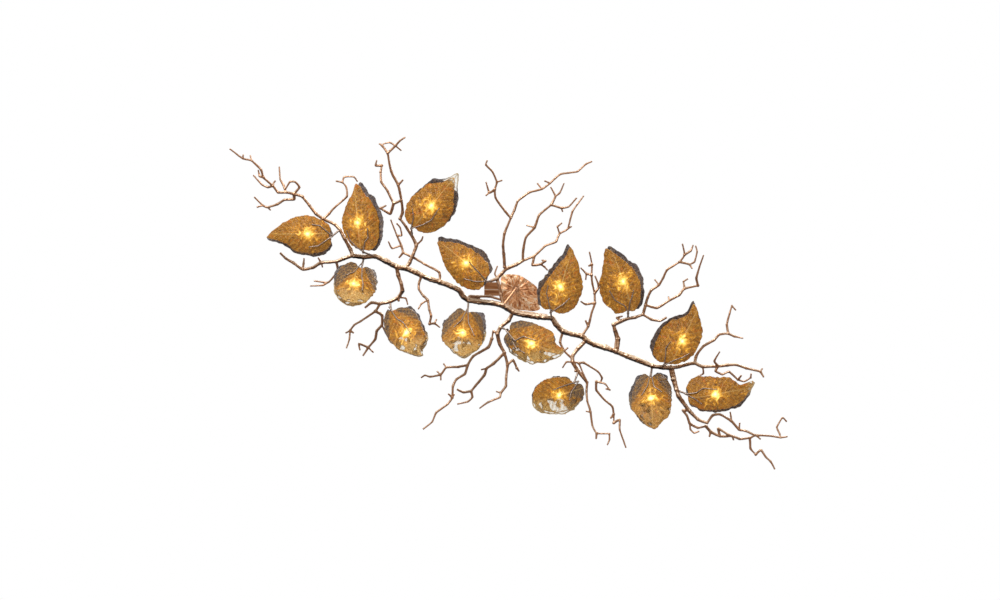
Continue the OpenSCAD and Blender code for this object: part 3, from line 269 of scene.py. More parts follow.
# Each row: the lamp's place in X and Y, the height of the shade's middle over the stem's
# axis, its tilt, the shift of the rear leaf in X and Y, the point of the wood that carries
# it, the claw's prongs, and its outline as seen from below, which starts at the notch over
# the stalk and has the tip as its eighth point.
LEAVES = [
    [[-560, -148], -30, -8, [2, 5], [-470, -150],
     [[[-512, -157], [-528, -170], [-548, -173]], [[-515, -128], [-532, -116], [-556, -113]]],
     [[-502, -142], [-498, -160], [-508, -177], [-535, -192], [-565, -198], [-600, -192],
      [-635, -172], [-669, -140], [-640, -130], [-615, -118], [-595, -103], [-560, -95],
      [-520, -100], [-499, -118]]],
    [[-426, -178], -28, 4, [9, -2], [-384, -88],
     [[[-407, -125], [-398, -138], [-400, -162]], [[-428, -112], [-446, -130], [-455, -156]]],
     [[-412, -105], [-388, -105], [-371, -130], [-367, -165], [-372, -202], [-388, -235],
      [-410, -262], [-430, -286], [-442, -255], [-458, -224], [-469, -190], [-466, -155],
      [-450, -126], [-430, -108]]],
    [[-228, -224], -30, -5, [8, -8], [-284, -150],
     [[[-276, -190], [-278, -214]], [[-250, -173], [-228, -185], [-207, -217]]],
     [[-278, -168], [-250, -150], [-215, -156], [-185, -180], [-170, -212], [-167, -245],
      [-165, -275], [-167, -301], [-200, -287], [-235, -284], [-262, -264], [-288, -240],
      [-300, -210], [-297, -184]]],
    [[-135, -70], -27, 3, [5, -7], [-69, -21],
     [[[-98, -42], [-110, -55], [-126, -72]], [[-108, -20], [-140, -27]]],
     [[-84, -24], [-70, -46], [-82, -78], [-105, -98], [-130, -113], [-158, -124],
      [-185, -127], [-212, -129], [-203, -95], [-192, -62], [-170, -28], [-140, -4],
      [-108, 5], [-88, -7]]],
    [[120, -5], -30, 0, [-7, -6], [97, 79],
     [[[88, 38], [82, 10], [86, -8]], [[116, 48], [128, 40], [143, 26]]],
     [[95, 58], [124, 68], [150, 58], [168, 34], [180, 2], [177, -35], [165, -76],
      [147, -112], [130, -84], [106, -57], [84, -27], [68, 0], [64, 30], [75, 54]]],
    [[288, -20], -26, -4, [9, -4], [302, 80],
     [[[293, 46], [266, 30], [252, 6]], [[306, 38], [312, 20], [316, 4]]],
     [[300, 60], [322, 56], [335, 28], [333, -18], [316, -54], [290, -78], [262, -98],
      [240, -111], [236, -82], [230, -48], [223, -5], [231, 28], [250, 50], [273, 67]]],
    [[446, 140], -36, -5, [-3, -4], [395, 211],
     [[[402, 176], [403, 158], [414, 143]], [[425, 192], [447, 184], [465, 174]]],
     [[401, 199], [430, 203], [460, 192], [481, 173], [497, 143], [502, 110], [493, 75],
      [478, 40], [462, 66], [438, 79], [412, 86], [385, 113], [366, 150], [374, 187]]],
    [[535, 283], -38, -8, [2, 5], [433, 272],
     [[[484, 279], [503, 267], [538, 270]], [[478, 294], [498, 308]]],
     [[463, 281], [464, 302], [480, 315], [510, 326], [545, 326], [585, 316], [615, 293],
      [638, 247], [606, 258], [575, 239], [540, 236], [505, 234], [475, 238], [458, 260]]],
    [[-435, -15], -60, -45, [-4, 0], [-402, -88],
     [[[-436, -44], [-456, -37]], [[-414, -32], [-410, -14], [-412, 2]]],
     [[-417, -52], [-440, -71], [-467, -64], [-482, -41], [-485, -8], [-475, 15],
      [-455, 32], [-432, 38], [-405, 33], [-388, 18], [-374, -5], [-373, -34],
      [-384, -53], [-403, -58]]],
    [[-295, 117], -62, -36, [2, 0], [-340, 34],
     [[[-320, 80], [-303, 90], [-283, 118]]],
     [[-334, 61], [-348, 58], [-357, 85], [-354, 115], [-338, 140], [-315, 160],
      [-285, 172], [-254, 177], [-257, 155], [-240, 131], [-250, 105], [-262, 75],
      [-285, 50], [-315, 50]]],
    [[-143, 117], -62, -45, [3, 0], [-128, 30],
     [[[-146, 84], [-166, 102]], [[-128, 90], [-112, 125]]],
     [[-131, 66], [-152, 53], [-178, 70], [-197, 95], [-199, 128], [-182, 152],
      [-160, 170], [-142, 178], [-120, 168], [-100, 155], [-88, 128], [-85, 100],
      [-92, 73], [-112, 62]]],
    [[42, 147], -45, -20, [-2, 4], [-42, 104],
     [[[-4, 138], [20, 128], [52, 138]], [[0, 158], [22, 172]]],
     [[-18, 112], [-32, 130], [-22, 150], [-5, 172], [25, 191], [65, 195], [100, 181],
      [127, 165], [108, 146], [98, 118], [75, 103], [45, 91], [10, 83], [-15, 95]]],
    [[115, 285], -62, -38, [0, 3], [168, 222],
     [[[148, 276], [142, 298]], [[122, 262], [102, 270]]],
     [[152, 253], [140, 236], [118, 234], [97, 236], [78, 243], [62, 255], [53, 268],
      [46, 283], [51, 310], [80, 327], [120, 331], [155, 318], [182, 287], [175, 258]]],
    [[361, 292], -64, -44, [-3, 0], [367, 207],
     [[[370, 262], [390, 276]], [[352, 262], [337, 284]]],
     [[364, 241], [346, 229], [325, 247], [311, 275], [309, 315], [328, 340], [350, 361],
      [370, 367], [388, 352], [410, 330], [417, 300], [418, 265], [408, 238], [385, 226]]]]
TIP_POINT = 7
FIRST_CLEAR = 8                     # counted from 0: from here on they are round and partly clear

# The canopy cover's outline in X and Y.
COVER_OUTLINE = [[-40, -33], [-30, -39], [-10, -40], [10, -37], [25, -29], [40, -19], [53, -9],
    [58, -2], [60, 10], [60, 25], [63, 40], [65, 54], [50, 60], [25, 58], [0, 55], [-20, 45],
    [-32, 35], [-40, 20]]

ZIGZAG = 1.5
ZIGZAG_TURN = 110


def nearest(p, routes):
    """The point of the routes that lies nearest to p in X and Y."""
    return min((q for r in routes for q in r), key=lambda q: math.hypot(q[0] - p[0], q[1] - p[1]))


def grow_routes(rows, routes):
    """The routes with one more for each row. A shoot rises evenly, with a small zigzag."""
    routes = list(routes)
    for rise, _, _, *points in rows:
        start = nearest(points[0], routes)
        n = len(points)
        routes.append([start] + [
            (x, y, start[2] + rise * k / n + ZIGZAG * math.sin(math.radians(ZIGZAG_TURN * k)))
            for k, (x, y) in enumerate(points, 1)])
    return routes


WOOD_ROUTES = [STEM_ROUTE] + [r for rows in BOUGHS.values() for r in grow_routes(rows, [STEM_ROUTE])]

# ---- Shades: frames and faces ----
CROWN_GAP = 44
BEND_L = 430
BEND_W = 95
BEND_RING = BEND_L - BEND_W
GLASS_T = 3
SLIP_H = 15
FRONT = 1
REAR = -1


def unit(v):
    v = np.asarray(v, float)
    return v / np.linalg.norm(v)


class Shade:
    """The frame of one shade: u to the tip, w to the front, v across, at the lamp's centre."""

    def __init__(self, row):
        self.lamp, height, tilt, self.shift, self.carrier, self.prongs, self.outline = row
        self.lamp, self.shift = np.array(self.lamp, float), np.array(self.shift, float)
        self.tilt = math.radians(tilt)
        self.way = unit(np.subtract(self.outline[TIP_POINT], self.outline[0]))
        self.u = np.array([self.way[0] * math.cos(self.tilt), self.way[1] * math.cos(self.tilt),
                           math.sin(self.tilt)])
        self.v = np.array([self.way[1], -self.way[0], 0.0])
        self.w = np.cross(self.u, self.v)
        self.centre = np.array([self.lamp[0], self.lamp[1], height - STEM_DROP])

    def on_plane(self, q):
        """Lengths along u and v of the place on the middle plane that lies over q."""
        d = np.asarray(q, float) - self.lamp
        return np.array([d @ self.way / math.cos(self.tilt), d @ self.v[:2]])

    def place(self, a, b, h):
        return self.centre + a * self.u + b * self.v + h * self.w

    def matrix(self):
        """The frame as an object's matrix, in metres."""
        columns = np.column_stack([self.u, self.v, self.w])
        return Matrix.Translation(Vector(self.centre * MM)) @ Matrix(columns.tolist()).to_4x4()

    def face_edge(self, side):
        """The leaf's outline as lengths along u and v."""
        shift = self.shift if side == REAR else 0
        slip = (-SLIP_H if side == FRONT else SLIP_H / 2) * math.tan(self.tilt)
        return [self.on_plane(np.asarray(q, float) + shift) + (slip, 0) for q in self.outline]


def face_h(a, b, d):
    """Height over the middle plane of the leaf's face that lies d outside its inner face."""
    return (CROWN_GAP / 2 - BEND_L
            + np.sqrt((BEND_RING + np.sqrt((BEND_W + d) ** 2 - b * b)) ** 2 - a * a))


SHADES = [Shade(row) for row in LEAVES]

# ---- Curves and meshes ----
BUD_SWELL = 0.12
BUD_L = 4.0
TWIG_PULL = 0.26


def spline(p0, p1, p2, p3, t, pull=0.5):
    """A point between p1 and p2 of a smooth curve: a small pull makes it more angular."""
    m1, m2 = pull * (p2 - p0), pull * (p3 - p1)
    return ((2 * t ** 3 - 3 * t * t + 1) * p1 + (t ** 3 - 2 * t * t + t) * m1
            + (3 * t * t - 2 * t ** 3) * p2 + (t ** 3 - t * t) * m2)


def smooth_line(points, radii, step):
    """A smooth line through the points, with samples about a step apart, and its radii.
    It swells a little at each point, as a twig does at a bud."""
    p = [np.array(q, float) for q in points]
    p = [2 * p[0] - p[1]] + p + [2 * p[-1] - p[-2]]
    line = []
    sizes = []
    for k in range(len(points) - 1):
        n = max(2, round(np.linalg.norm(p[k + 2] - p[k + 1]) / step))
        for t in np.arange(n) / n:
            line.append(spline(p[k], p[k + 1], p[k + 2], p[k + 3], t, TWIG_PULL))
            bud = BUD_SWELL * math.exp(-(min(t, 1 - t) * n * step / BUD_L) ** 2)
            sizes.append((radii[k] + (radii[k + 1] - radii[k]) * t) * (1 + bud))
    return line + [p[-2]], sizes + [radii[-1]]


def smooth_loop(points, split):
    """A closed smooth curve through the points."""
    p = [np.array(q, float) for q in points]
    n = len(p)
    return np.array([spline(p[k - 1], p[k], p[(k + 1) % n], p[(k + 2) % n], s / split)
                     for k in range(n) for s in range(split)])


def band(p, q, n, outward=True):
    """The faces between two rings of n points, whose first points have the numbers p and q."""
    pairs = [(a, (a + 1) % n) for a in range(n)]
    if outward:
        return [(p + a, p + b, q + b, q + a) for a, b in pairs]
    return [(p + a, q + a, q + b, p + b) for a, b in pairs]


def new_object(name, verts, faces):
    """A smooth mesh in the scene, from places in millimetres."""
    mesh = bpy.data.meshes.new(name)
    mesh.from_pydata((np.array(verts) * MM).tolist(), [], faces)
    mesh.polygons.foreach_set("use_smooth", [True] * len(mesh.polygons))
    mesh.update()
    obj = bpy.data.objects.new(name, mesh)
    bpy.context.scene.collection.objects.link(obj)
    return obj


def store(mesh, name, values):
    """A value or a vector for each of the mesh's points, which a material reads by its name."""
    kind, key = ("FLOAT_VECTOR", "vector") if values.ndim == 2 else ("FLOAT", "value")
    mesh.attributes.new(name, kind, "POINT").data.foreach_set(key, values.ravel())


# ---- Twigs: tubes and lumps melted together ----
BARK_TWIST = 0.012
BARK_L = 20.0
BARK_W = 2.6
LUMP_L = 7.0
LUMP_H = 0.11
BARK_R = 7.5                        # bark gets no deeper on wood with a larger radius
BALL_ROWS = 6
BALL_SIDES = 10
BALL_POLE = 0.02
BALL_NOISE = 1.7
BALL_UNEVEN = 0.22


class Twigs:
    """Tubes and lumps that are melted into one piece with bark on it."""

    def __init__(self):
        self.verts = []
        self.faces = []
        self.samples = []                   # centre, direction, side, up, distance, radius

    def tube(self, points, radii, sides, step=2.5, offset=0.0):
        line, sizes = smooth_line(points, radii, step)
        side = unit(np.cross((0.3, 0.2, 1.0), line[1] - line[0]))
        run = offset
        first = len(self.verts)
        for k, centre in enumerate(line):
            along = unit(line[min(k + 1, len(line) - 1)] - line[max(k - 1, 0)])
            side = unit(side - along * (side @ along))
            up = np.cross(along, side)
            run += np.linalg.norm(centre - line[k - 1]) if k else 0
            self.samples.append((centre, along, side, up, run, sizes[k]))
            for a in range(sides):
                turn = 2 * math.pi * a / sides
                out = math.cos(turn) * side + math.sin(turn) * up
                self.verts.append(centre + sizes[k] * out)
        self.close(first, sides, True)

    def lump(self, centre, radius, seed):
        """A knot: an uneven ball."""
        first = len(self.verts)
        centre = np.array(centre, float)
        for k in range(BALL_ROWS + 1):
            polar = math.pi * (k + BALL_POLE) / (BALL_ROWS + 2 * BALL_POLE)
            for a in range(BALL_SIDES):
                turn = 2 * math.pi * a / BALL_SIDES
                way = np.array([math.sin(polar) * math.cos(turn),
                                math.sin(polar) * math.sin(turn), math.cos(polar)])
                swell = 1 + BALL_UNEVEN * noise.noise(Vector(way * BALL_NOISE) + Vector((seed, 0, 0)))
                self.verts.append(centre + radius * swell * way)
        self.close(first, BALL_SIDES, False)

    def close(self, first, sides, outward):
        """Faces over the rings of points from the first one on, and a face at each end."""
        rings = list(range(first, len(self.verts), sides))
        for p, q in zip(rings, rings[1:]):
            self.faces += band(p, q, sides, outward)
        ends = [list(range(p, p + sides)) for p in (rings[0], rings[-1])]
        ends[0 if outward else 1].reverse()
        self.faces += ends

    def melt(self, name, voxel, ridge):
        """The piece: melted together at the voxel size, smoothed, with ridges of bark."""
        obj = new_object(name, self.verts, self.faces)
        melted = obj.modifiers.new("melt", "REMESH")
        melted.mode = "VOXEL"
        melted.voxel_size = voxel * MM
        soft = obj.modifiers.new("soften", "SMOOTH")
        soft.factor = 0.5
        soft.iterations = 3
        bpy.context.view_layer.update()
        graph = bpy.context.evaluated_depsgraph_get()
        obj.data = bpy.data.meshes.new_from_object(obj.evaluated_get(graph))
        obj.data.name = name
        obj.modifiers.clear()
        self.bark(obj, ridge)
        return obj

    def bark(self, obj, ridge):
        """Ridges along the wood, and the wood's own coordinates for the material."""
        mesh = obj.data
        tree = kdtree.KDTree(len(self.samples))
        for k, s in enumerate(self.samples):
            tree.insert(Vector(s[0]), k)
        tree.balance()
        n = len(mesh.vertices)
        co = np.empty(n * 3)
        mesh.vertices.foreach_get("co", co)
        co = co.reshape(-1, 3) / MM
        found = np.array([tree.find(Vector(v))[1] for v in co])
        centre, along, side, up = (np.array([s[k] for s in self.samples])[found] for k in range(4))
        run, size = (np.array([s[k] for s in self.samples])[found] for k in (4, 5))
        d = co - centre
        x = run + np.einsum("ij,ij->i", d, along)
        y = np.einsum("ij,ij->i", d, side)
        z = np.einsum("ij,ij->i", d, up)
        r = np.maximum(np.hypot(y, z), 1e-6)
        turn = np.arctan2(z, y) + x * BARK_TWIST
        grain = np.column_stack([x / BARK_L, np.cos(turn) * size / BARK_W,
                                 np.sin(turn) * size / BARK_W])
        lumps = np.column_stack([x / LUMP_L, y / LUMP_L, z / LUMP_L])
        push = np.array([ridge * noise.noise(Vector(g)) + LUMP_H * noise.noise(Vector(q))
                         for g, q in zip(grain, lumps)]) * np.minimum(size, BARK_R)
        out = side * (y / r)[:, None] + up * (z / r)[:, None]
        co = (co + out * push[:, None]) * MM
        mesh.vertices.foreach_set("co", co.ravel())
        store(mesh, "grain", grain)
        store(mesh, "thick", size)
        mesh.polygons.foreach_set("use_smooth", [True] * len(mesh.polygons))
        mesh.update()


KNOT_SWELL = 1.25
BEND_SWELL = 1.12
FULLER = (1.0, 1.0, 1.12, 1.28, 1.35)       # how much stouter than its core each size of wood is
BULGE = 0.08
BULGE_TURN = 137
TIP_TAPER = 0.85
STEM_SIDES = 20
THICK_SIDES = 14
THIN_SIDES = 10
NEXT_BARK = 97.0                    # moves the bark's pattern on for each shoot
NEXT_BOUGH = 0.37                   # and the knots' pattern for each bough


def bulge(k):
    return 1 + BULGE * math.sin(math.radians(BULGE_TURN * k))


def add_shoots(twigs, rows, routes, seed):
    """Every row's shoot, with a knot at its foot and a swelling at each bend."""
    for i, (_, start, end, *_) in enumerate(rows):
        route = routes[i + 1]
        n = len(route) - 1
        d0, d1 = (WOOD_D[level] * FULLER[level] for level in (start, end))
        radii = [0.5 * (d0 + (d1 - d0) * k / n) * bulge(k) for k in range(n + 1)]
        radii[n] *= TIP_TAPER
        twigs.tube(route, radii, THICK_SIDES if start <= BRANCHLET else THIN_SIDES,
                   offset=NEXT_BARK * (i + seed))
        for k in range(1, n):
            twigs.lump(route[k], BEND_SWELL * radii[k], i + k + NEXT_BOUGH * seed)
        twigs.lump(route[0], 0.5 * d0 * KNOT_SWELL, i + NEXT_BOUGH * seed)


def finish_piece(obj, body, material, node):
    """The piece rides on its body and stands for one CAD node."""
    obj.data.materials.clear()
    obj.data.materials.append(material)
    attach(obj, body)
    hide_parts(node)


# ---- Materials ----


def srgb(red, green, blue):
    """A colour as seen, 0 to 255, in the linear values that a socket takes."""
    def linear(c):
        c /= 255
        return c / 12.92 if c <= 0.04045 else ((c + 0.055) / 1.055) ** 2.4
    return (linear(red), linear(green), linear(blue), 1.0)


def between(a, b):
    return tuple((x + y) / 2 for x, y in zip(a, b))


class Nodes:
    """Short calls for the nodes of one material or world."""

    def __init__(self, tree):
        self.tree = tree

    def node(self, kind, settings=(), **inputs):
        made = self.tree.nodes.new("ShaderNode" + kind)
        for key, value in dict(settings).items():
            setattr(made, key, value)
        for key, value in inputs.items():
            self.put(made.inputs[key.replace("_", " ")], value)
        return made

    def put(self, socket, value):
        if isinstance(value, bpy.types.NodeSocket):
            self.tree.links.new(value, socket)
        else:
            socket.default_value = value

    def math(self, operation, a, b=0.0, c=0.0):
        made = self.node("Math", {"operation": operation})
        for k, value in enumerate((a, b, c)):
            self.put(made.inputs[k], value)
        return made.outputs[0]

    def times(self, value, by, plus=0.0):
        return self.math("MULTIPLY_ADD", value, by, plus)

    def vector(self, operation, a, b=(0, 0, 0), scale=1.0):
        made = self.node("VectorMath", {"operation": operation})
        self.put(made.inputs[0], a)
        self.put(made.inputs[1], b)
        if operation == "SCALE":
            self.put(made.inputs["Scale"], scale)
        return made.outputs["Value" if operation in ("LENGTH", "DOT_PRODUCT") else "Vector"]

    def here(self):
        return self.node("TexCoord").outputs["Object"]

    def attribute(self, name, output="Vector"):
        return self.node("Attribute", {"attribute_name": name}).outputs[output]

    def noise(self, where, scale, detail=3.0, roughness=0.55, distortion=0.0):
        return self.node("TexNoise", Vector=where, Scale=scale, Detail=detail,
                         Roughness=roughness, Distortion=distortion).outputs[0]

    def ramp(self, value, *stops):
        """A colour or grey for each value: stops are (position, colour or number)."""
        made = self.node("ValToRGB", Fac=value)
        bar = made.color_ramp.elements
        while len(bar) < len(stops):
            bar.new(0.5)
        for element, (position, colour) in zip(bar, stops):
            element.position = position
            element.color = colour if isinstance(colour, tuple) else (colour,) * 3 + (1.0,)
        return made.outputs[0]

    def mix(self, factor, a, b):
        made = self.node("Mix", {"data_type": "RGBA"})
        self.put(made.inputs[0], factor)
        self.put(made.inputs[6], a)
        self.put(made.inputs[7], b)
        return made.outputs[2]


class Shader(Nodes):
    """One material, with its constants set on the shader's own sockets."""

    def __init__(self, name, **constants):
        self.material = bpy.data.materials.new(name)
        self.material.use_nodes = True
        super().__init__(self.material.node_tree)
        self.bsdf = self.tree.nodes["Principled BSDF"]
        for socket, value in constants.items():
            self.set(socket.replace("_", " "), value)

    def set(self, socket, value):
        self.put(self.bsdf.inputs[socket], value)

    def bump(self, height, strength, distance):
        self.put(self.bsdf.inputs["Normal"], self.node(
            "Bump", Height=height, Strength=strength, Distance=distance * MM).outputs[0])


# The bronze paints light on the sides that face this way and paints shade on the sides that face away.
LIGHT_SIDE = (-0.15, -0.9, -0.15)
# The leaves' glow is painted light: emission on the glass that stands in for the lamp shining through
# it.
GLOW = 1.35
REAR_GLOW = 0.3
GLOW_REACH = 60.0                   # the glow is gone this far from the lamp's spot


def cast_bronze(name, dark, middle, bright, metallic, thin_bright):
    """Patinated bronze cast from wood: bright on its ridges and dark in its grooves, with painted
    light on the sides that face LIGHT_SIDE and painted shade on the sides that face away from it."""
    s = Shader(name, Metallic=metallic, Roughness=0.36)
    grain = s.attribute("grain")
    ridges = s.noise(grain, 1.0, 4.0, 0.6)
    fine = s.noise(grain, 3.4, 3.0, 0.6)
    blotch = s.noise(s.here(), 34.0, 3.0, 0.6)
    normal = s.node("NewGeometry").outputs["Normal"]
    # Painted light and shade: the tone rises on sides that face LIGHT_SIDE and falls on sides that face
    # away.
    lit = s.vector("DOT_PRODUCT", normal, unit(LIGHT_SIDE).tolist())
    tone = s.times(lit, 0.80, -0.81)
    for pattern, share in ((ridges, 1.1), (fine, 0.7), (blotch, 0.5)):
        tone = s.times(pattern, share, tone)
    colour = s.ramp(tone, (0.12, dark), (0.34, between(dark, middle)), (0.50, middle),
                    (0.66, between(middle, bright)), (0.88, bright))
    thin = s.times(s.attribute("thick", "Fac"), -0.22, 1.4)
    thin = s.node("Clamp", Value=thin, Max=0.8).outputs[0]
    s.set("Base Color", s.mix(thin, colour, s.mix(0.85, colour, thin_bright)))
    s.set("Roughness", s.times(blotch, 0.3, 0.22))
    s.bump(s.times(fine, 0.6, ridges), 0.7, 0.9)
    return s.material


def leaf_glass(name, rear):
    """Hammered amber glass with painted light: it glows where its lamp would show through, and is clear
    in places.
    The leaf's vertices say where they are, how they lie from that spot, and where veins,
    brown lobes and clear panes are."""
    s = Shader(name, Roughness=0.3, IOR=1.45, Specular_IOR_Level=0.3)
    spot = s.attribute("spot")
    place = s.attribute("place")
    ray = s.vector("SCALE", s.vector("NORMALIZE", spot), scale=2.6)
    streak = s.noise(s.vector("ADD", ray, s.vector("SCALE", place, scale=0.03)), 1.5, 4.0, 0.65)
    grain = s.noise(place, 0.24, 4.0, 0.75, 0.5)
    specks = s.noise(place, 0.5, 4.0, 0.75)
    vein = s.attribute("vein", "Fac")
    pane = s.attribute("pane", "Fac")
    lobe = s.attribute("lobe", "Fac")
    facet = s.noise(place, 0.06, 2.0, 0.5, 1.5)
    uneven = s.times(facet, -3.2, s.times(streak, -0.4, 2.9))
    far = s.times(s.times(s.vector("LENGTH", spot), uneven), 1 / GLOW_REACH)
    if rear:
        colour = s.ramp(grain, (0.34, srgb(60, 54, 58)), (0.50, srgb(102, 94, 96)),
                        (0.68, srgb(156, 142, 132)))
        colour = s.mix(s.times(pane, 0.9), colour, srgb(214, 186, 132))
        glow = REAR_GLOW * GLOW
    else:
        mottle = s.noise(place, 0.06, 5.0, 0.7, 1.2)
        tone = s.times(grain, 0.6, s.times(mottle, 0.4))
        colour = s.ramp(tone, (0.37, srgb(84, 56, 26)), (0.46, srgb(150, 94, 20)),
                        (0.55, srgb(180, 120, 30)), (0.67, srgb(220, 170, 80)))
        colour = s.mix(s.ramp(streak, (0.54, 0.0), (0.70, 0.7)), colour, srgb(200, 100, 12))
        colour = s.mix(s.ramp(specks, (0.36, 0.85), (0.46, 0.0)), colour, srgb(78, 56, 34))
        colour = s.mix(s.ramp(specks, (0.58, 0.0), (0.72, 0.7)), colour, srgb(236, 196, 126))
        brown = s.ramp(grain, (0.42, srgb(62, 54, 54)), (0.52, srgb(106, 84, 62)),
                       (0.62, srgb(166, 120, 54)))
        colour = s.mix(lobe, colour, brown)
        colour = s.mix(s.times(pane, 0.75), colour,
                       s.ramp(grain, (0.40, srgb(170, 124, 52)), (0.60, srgb(226, 194, 130))))
        glow = GLOW
    colour = s.mix(s.times(vein, 0.6), colour, srgb(232, 190, 116))
    # Painted glow: emission is strongest at the lamp's spot and gone at GLOW_REACH, standing in for the
    # lamp's light through the glass.
    light = s.ramp(far, (0.0, 1.0), (0.12, 0.9), (0.25, 0.34), (0.44, 0.08), (0.75, 0.0))
    light.node.color_ramp.interpolation = "B_SPLINE"
    light = s.times(light, s.times(grain, 1.4, s.times(specks, 1.0, -0.2)))
    light = s.times(light, s.times(lobe, -0.85, 1.0))
    painted_glow_colour = s.ramp(far, (0.0, srgb(255, 248, 214)), (0.12, srgb(255, 226, 120)),
                  (0.28, srgb(255, 184, 50)), (0.7, srgb(225, 130, 20)))
    s.set("Base Color", colour)
    s.set("Emission Color", painted_glow_colour)
    s.set("Emission Strength", s.times(light, glow))
    s.bump(s.times(facet, 3.0, s.times(specks, 0.5, grain)), 0.8, 1.8)
    patch = s.noise(place, 0.045, 0.0, 0.4, 0.4)
    clear = s.times(pane, 2.2, s.times(patch, 10.0, -6.4))
    clear = s.node("Clamp", Value=clear, Max=0.95).outputs[0]
    clear = s.times(clear, s.math("GREATER_THAN", pane, 0.01))
    keep = s.math("SUBTRACT", 1.0, s.math("MAXIMUM", vein, s.attribute("rim", "Fac")))
    window = s.node("BsdfTransparent", Color=(0.98, 0.975, 0.95, 1))
    blend = s.node("MixShader", Fac=s.times(clear, keep))
    s.put(blend.inputs[1], s.bsdf.outputs[0])
    s.put(blend.inputs[2], window.outputs[0])
    s.put(s.tree.nodes["Material Output"].inputs["Surface"], blend.outputs[0])
    return s.material


def canopy_copper(name):
    """Crumpled copper leaf, with streaks that fan out from the rod."""
    s = Shader(name, Metallic=0.3, Roughness=0.4)
    ray = s.vector("NORMALIZE", s.vector("MULTIPLY", s.here(), (1.0, 1.0, 0.0)))
    rough = s.noise(s.vector("ADD", ray, s.vector("SCALE", s.here(), scale=22.0)), 3.2, 5.0, 0.6, 0.8)
    fine = s.noise(s.here(), 200.0, 3.0, 0.6)
    tone = s.times(fine, 0.3, s.times(rough, 1.5, -0.4))
    s.set("Base Color", s.ramp(tone, (0.32, srgb(150, 80, 40)), (0.42, srgb(216, 146, 92)),
                               (0.54, srgb(240, 178, 124)), (0.70, srgb(255, 232, 200))))
    s.bump(s.times(fine, 0.3, rough), 0.7, 2.0)
    return s.material


def brushed(name, dark, bright, metallic, roughness, stretch, scale, depth=0.25):
    """Metal or ceramic with a drawn or fired surface: noise stretched along stretch."""
    s = Shader(name, Metallic=metallic, Roughness=roughness)
    where = s.vector("MULTIPLY", s.here(), stretch)
    lines = s.noise(where, scale, 4.0, 0.6)
    s.set("Base Color", s.ramp(lines, (0.36, dark), (0.64, bright)))
    s.set("Roughness", s.times(lines, 0.25, roughness - 0.1))
    s.bump(lines, depth, 0.25)
    return s.material


def box_bands(name):
    """The driver box: copper sheet with pale and brown bands along it."""
    s = Shader(name, Metallic=0.7, Roughness=0.3)
    where = s.vector("MULTIPLY", s.here(), (30.0, 1000.0, 260.0))
    bands = s.noise(where, 0.16, 4.0, 0.7)
    s.set("Base Color", s.ramp(bands, (0.34, srgb(70, 44, 30)), (0.46, srgb(176, 112, 66)),
                               (0.58, srgb(206, 146, 100)), (0.68, srgb(246, 232, 214))))
    s.bump(bands, 0.35, 0.5)
    return s.material


def lamp_glass(name):
    """A frosted capsule, lit."""
    s = Shader(name, Roughness=0.3)
    rough = s.noise(s.here(), 300.0)
    s.set("Base Color", s.ramp(rough, (0.3, srgb(250, 240, 210)), (0.7, srgb(255, 250, 235))))
    s.set("Emission Color", s.ramp(rough, (0.3, srgb(255, 226, 160)), (0.7, srgb(255, 244, 214))))
    s.set("Emission Strength", 3.0)
    return s.material


WOOD = cast_bronze("wood_bronze", srgb(30, 21, 18), srgb(160, 108, 68), srgb(250, 222, 190),
                   0.62, srgb(158, 110, 78))
CLAW = cast_bronze("claw_bronze", srgb(30, 24, 23), srgb(112, 88, 74), srgb(240, 222, 206),
                   0.6, srgb(134, 112, 98))
FRONT_GLASS = leaf_glass("amber_glass", False)
REAR_GLASS = leaf_glass("smoke_glass", True)
COPPER = canopy_copper("canopy_copper")
BOX_COPPER = box_bands("box_copper")
STEEL = brushed("strap_steel", srgb(120, 118, 116), srgb(196, 194, 190), 0.9, 0.34,
                (1.0, 14.0, 14.0), 60.0)
ROD_COPPER = brushed("rod_copper", srgb(120, 72, 44), srgb(226, 170, 128), 0.8, 0.3,
                     (14.0, 14.0, 1.0), 50.0)
CERAMIC = brushed("holder_ceramic", srgb(214, 206, 190), srgb(240, 234, 222), 0.0, 0.5,
                  (1.0, 1.0, 1.0), 160.0)
LAMP = lamp_glass("lamp_glass")

# ---- Wood ----
WOOD_VOXEL = 1.1
WOOD_RIDGE = 0.13
THIN_END = 0.85
THIN_POINTS = (3, 2)                # how many points at the stem's two ends are thinner


def make_wood():
    stem = Twigs()
    n = len(STEM_ROUTE)
    ends = [k < THIN_POINTS[0] or k >= n - THIN_POINTS[1] for k in range(n)]
    radii = [0.5 * STEM_D * (THIN_END if end else bulge(k)) for k, end in enumerate(ends)]
    stem.tube(STEM_ROUTE, radii, STEM_SIDES)
    add_shoots(stem, STEM_SHOOTS, grow_routes(STEM_SHOOTS, [STEM_ROUTE]), 0)
    finish_piece(stem.melt("branch_stem", WOOD_VOXEL, WOOD_RIDGE), "fixture", WOOD,
                 "main_stem")
    for k, (bough, rows) in enumerate(BOUGHS.items(), 1):
        twigs = Twigs()
        add_shoots(twigs, rows, grow_routes(rows, [STEM_ROUTE]), k)
        finish_piece(twigs.melt("branch_" + bough, WOOD_VOXEL, WOOD_RIDGE), "fixture", WOOD,
                     "bough_" + bough)


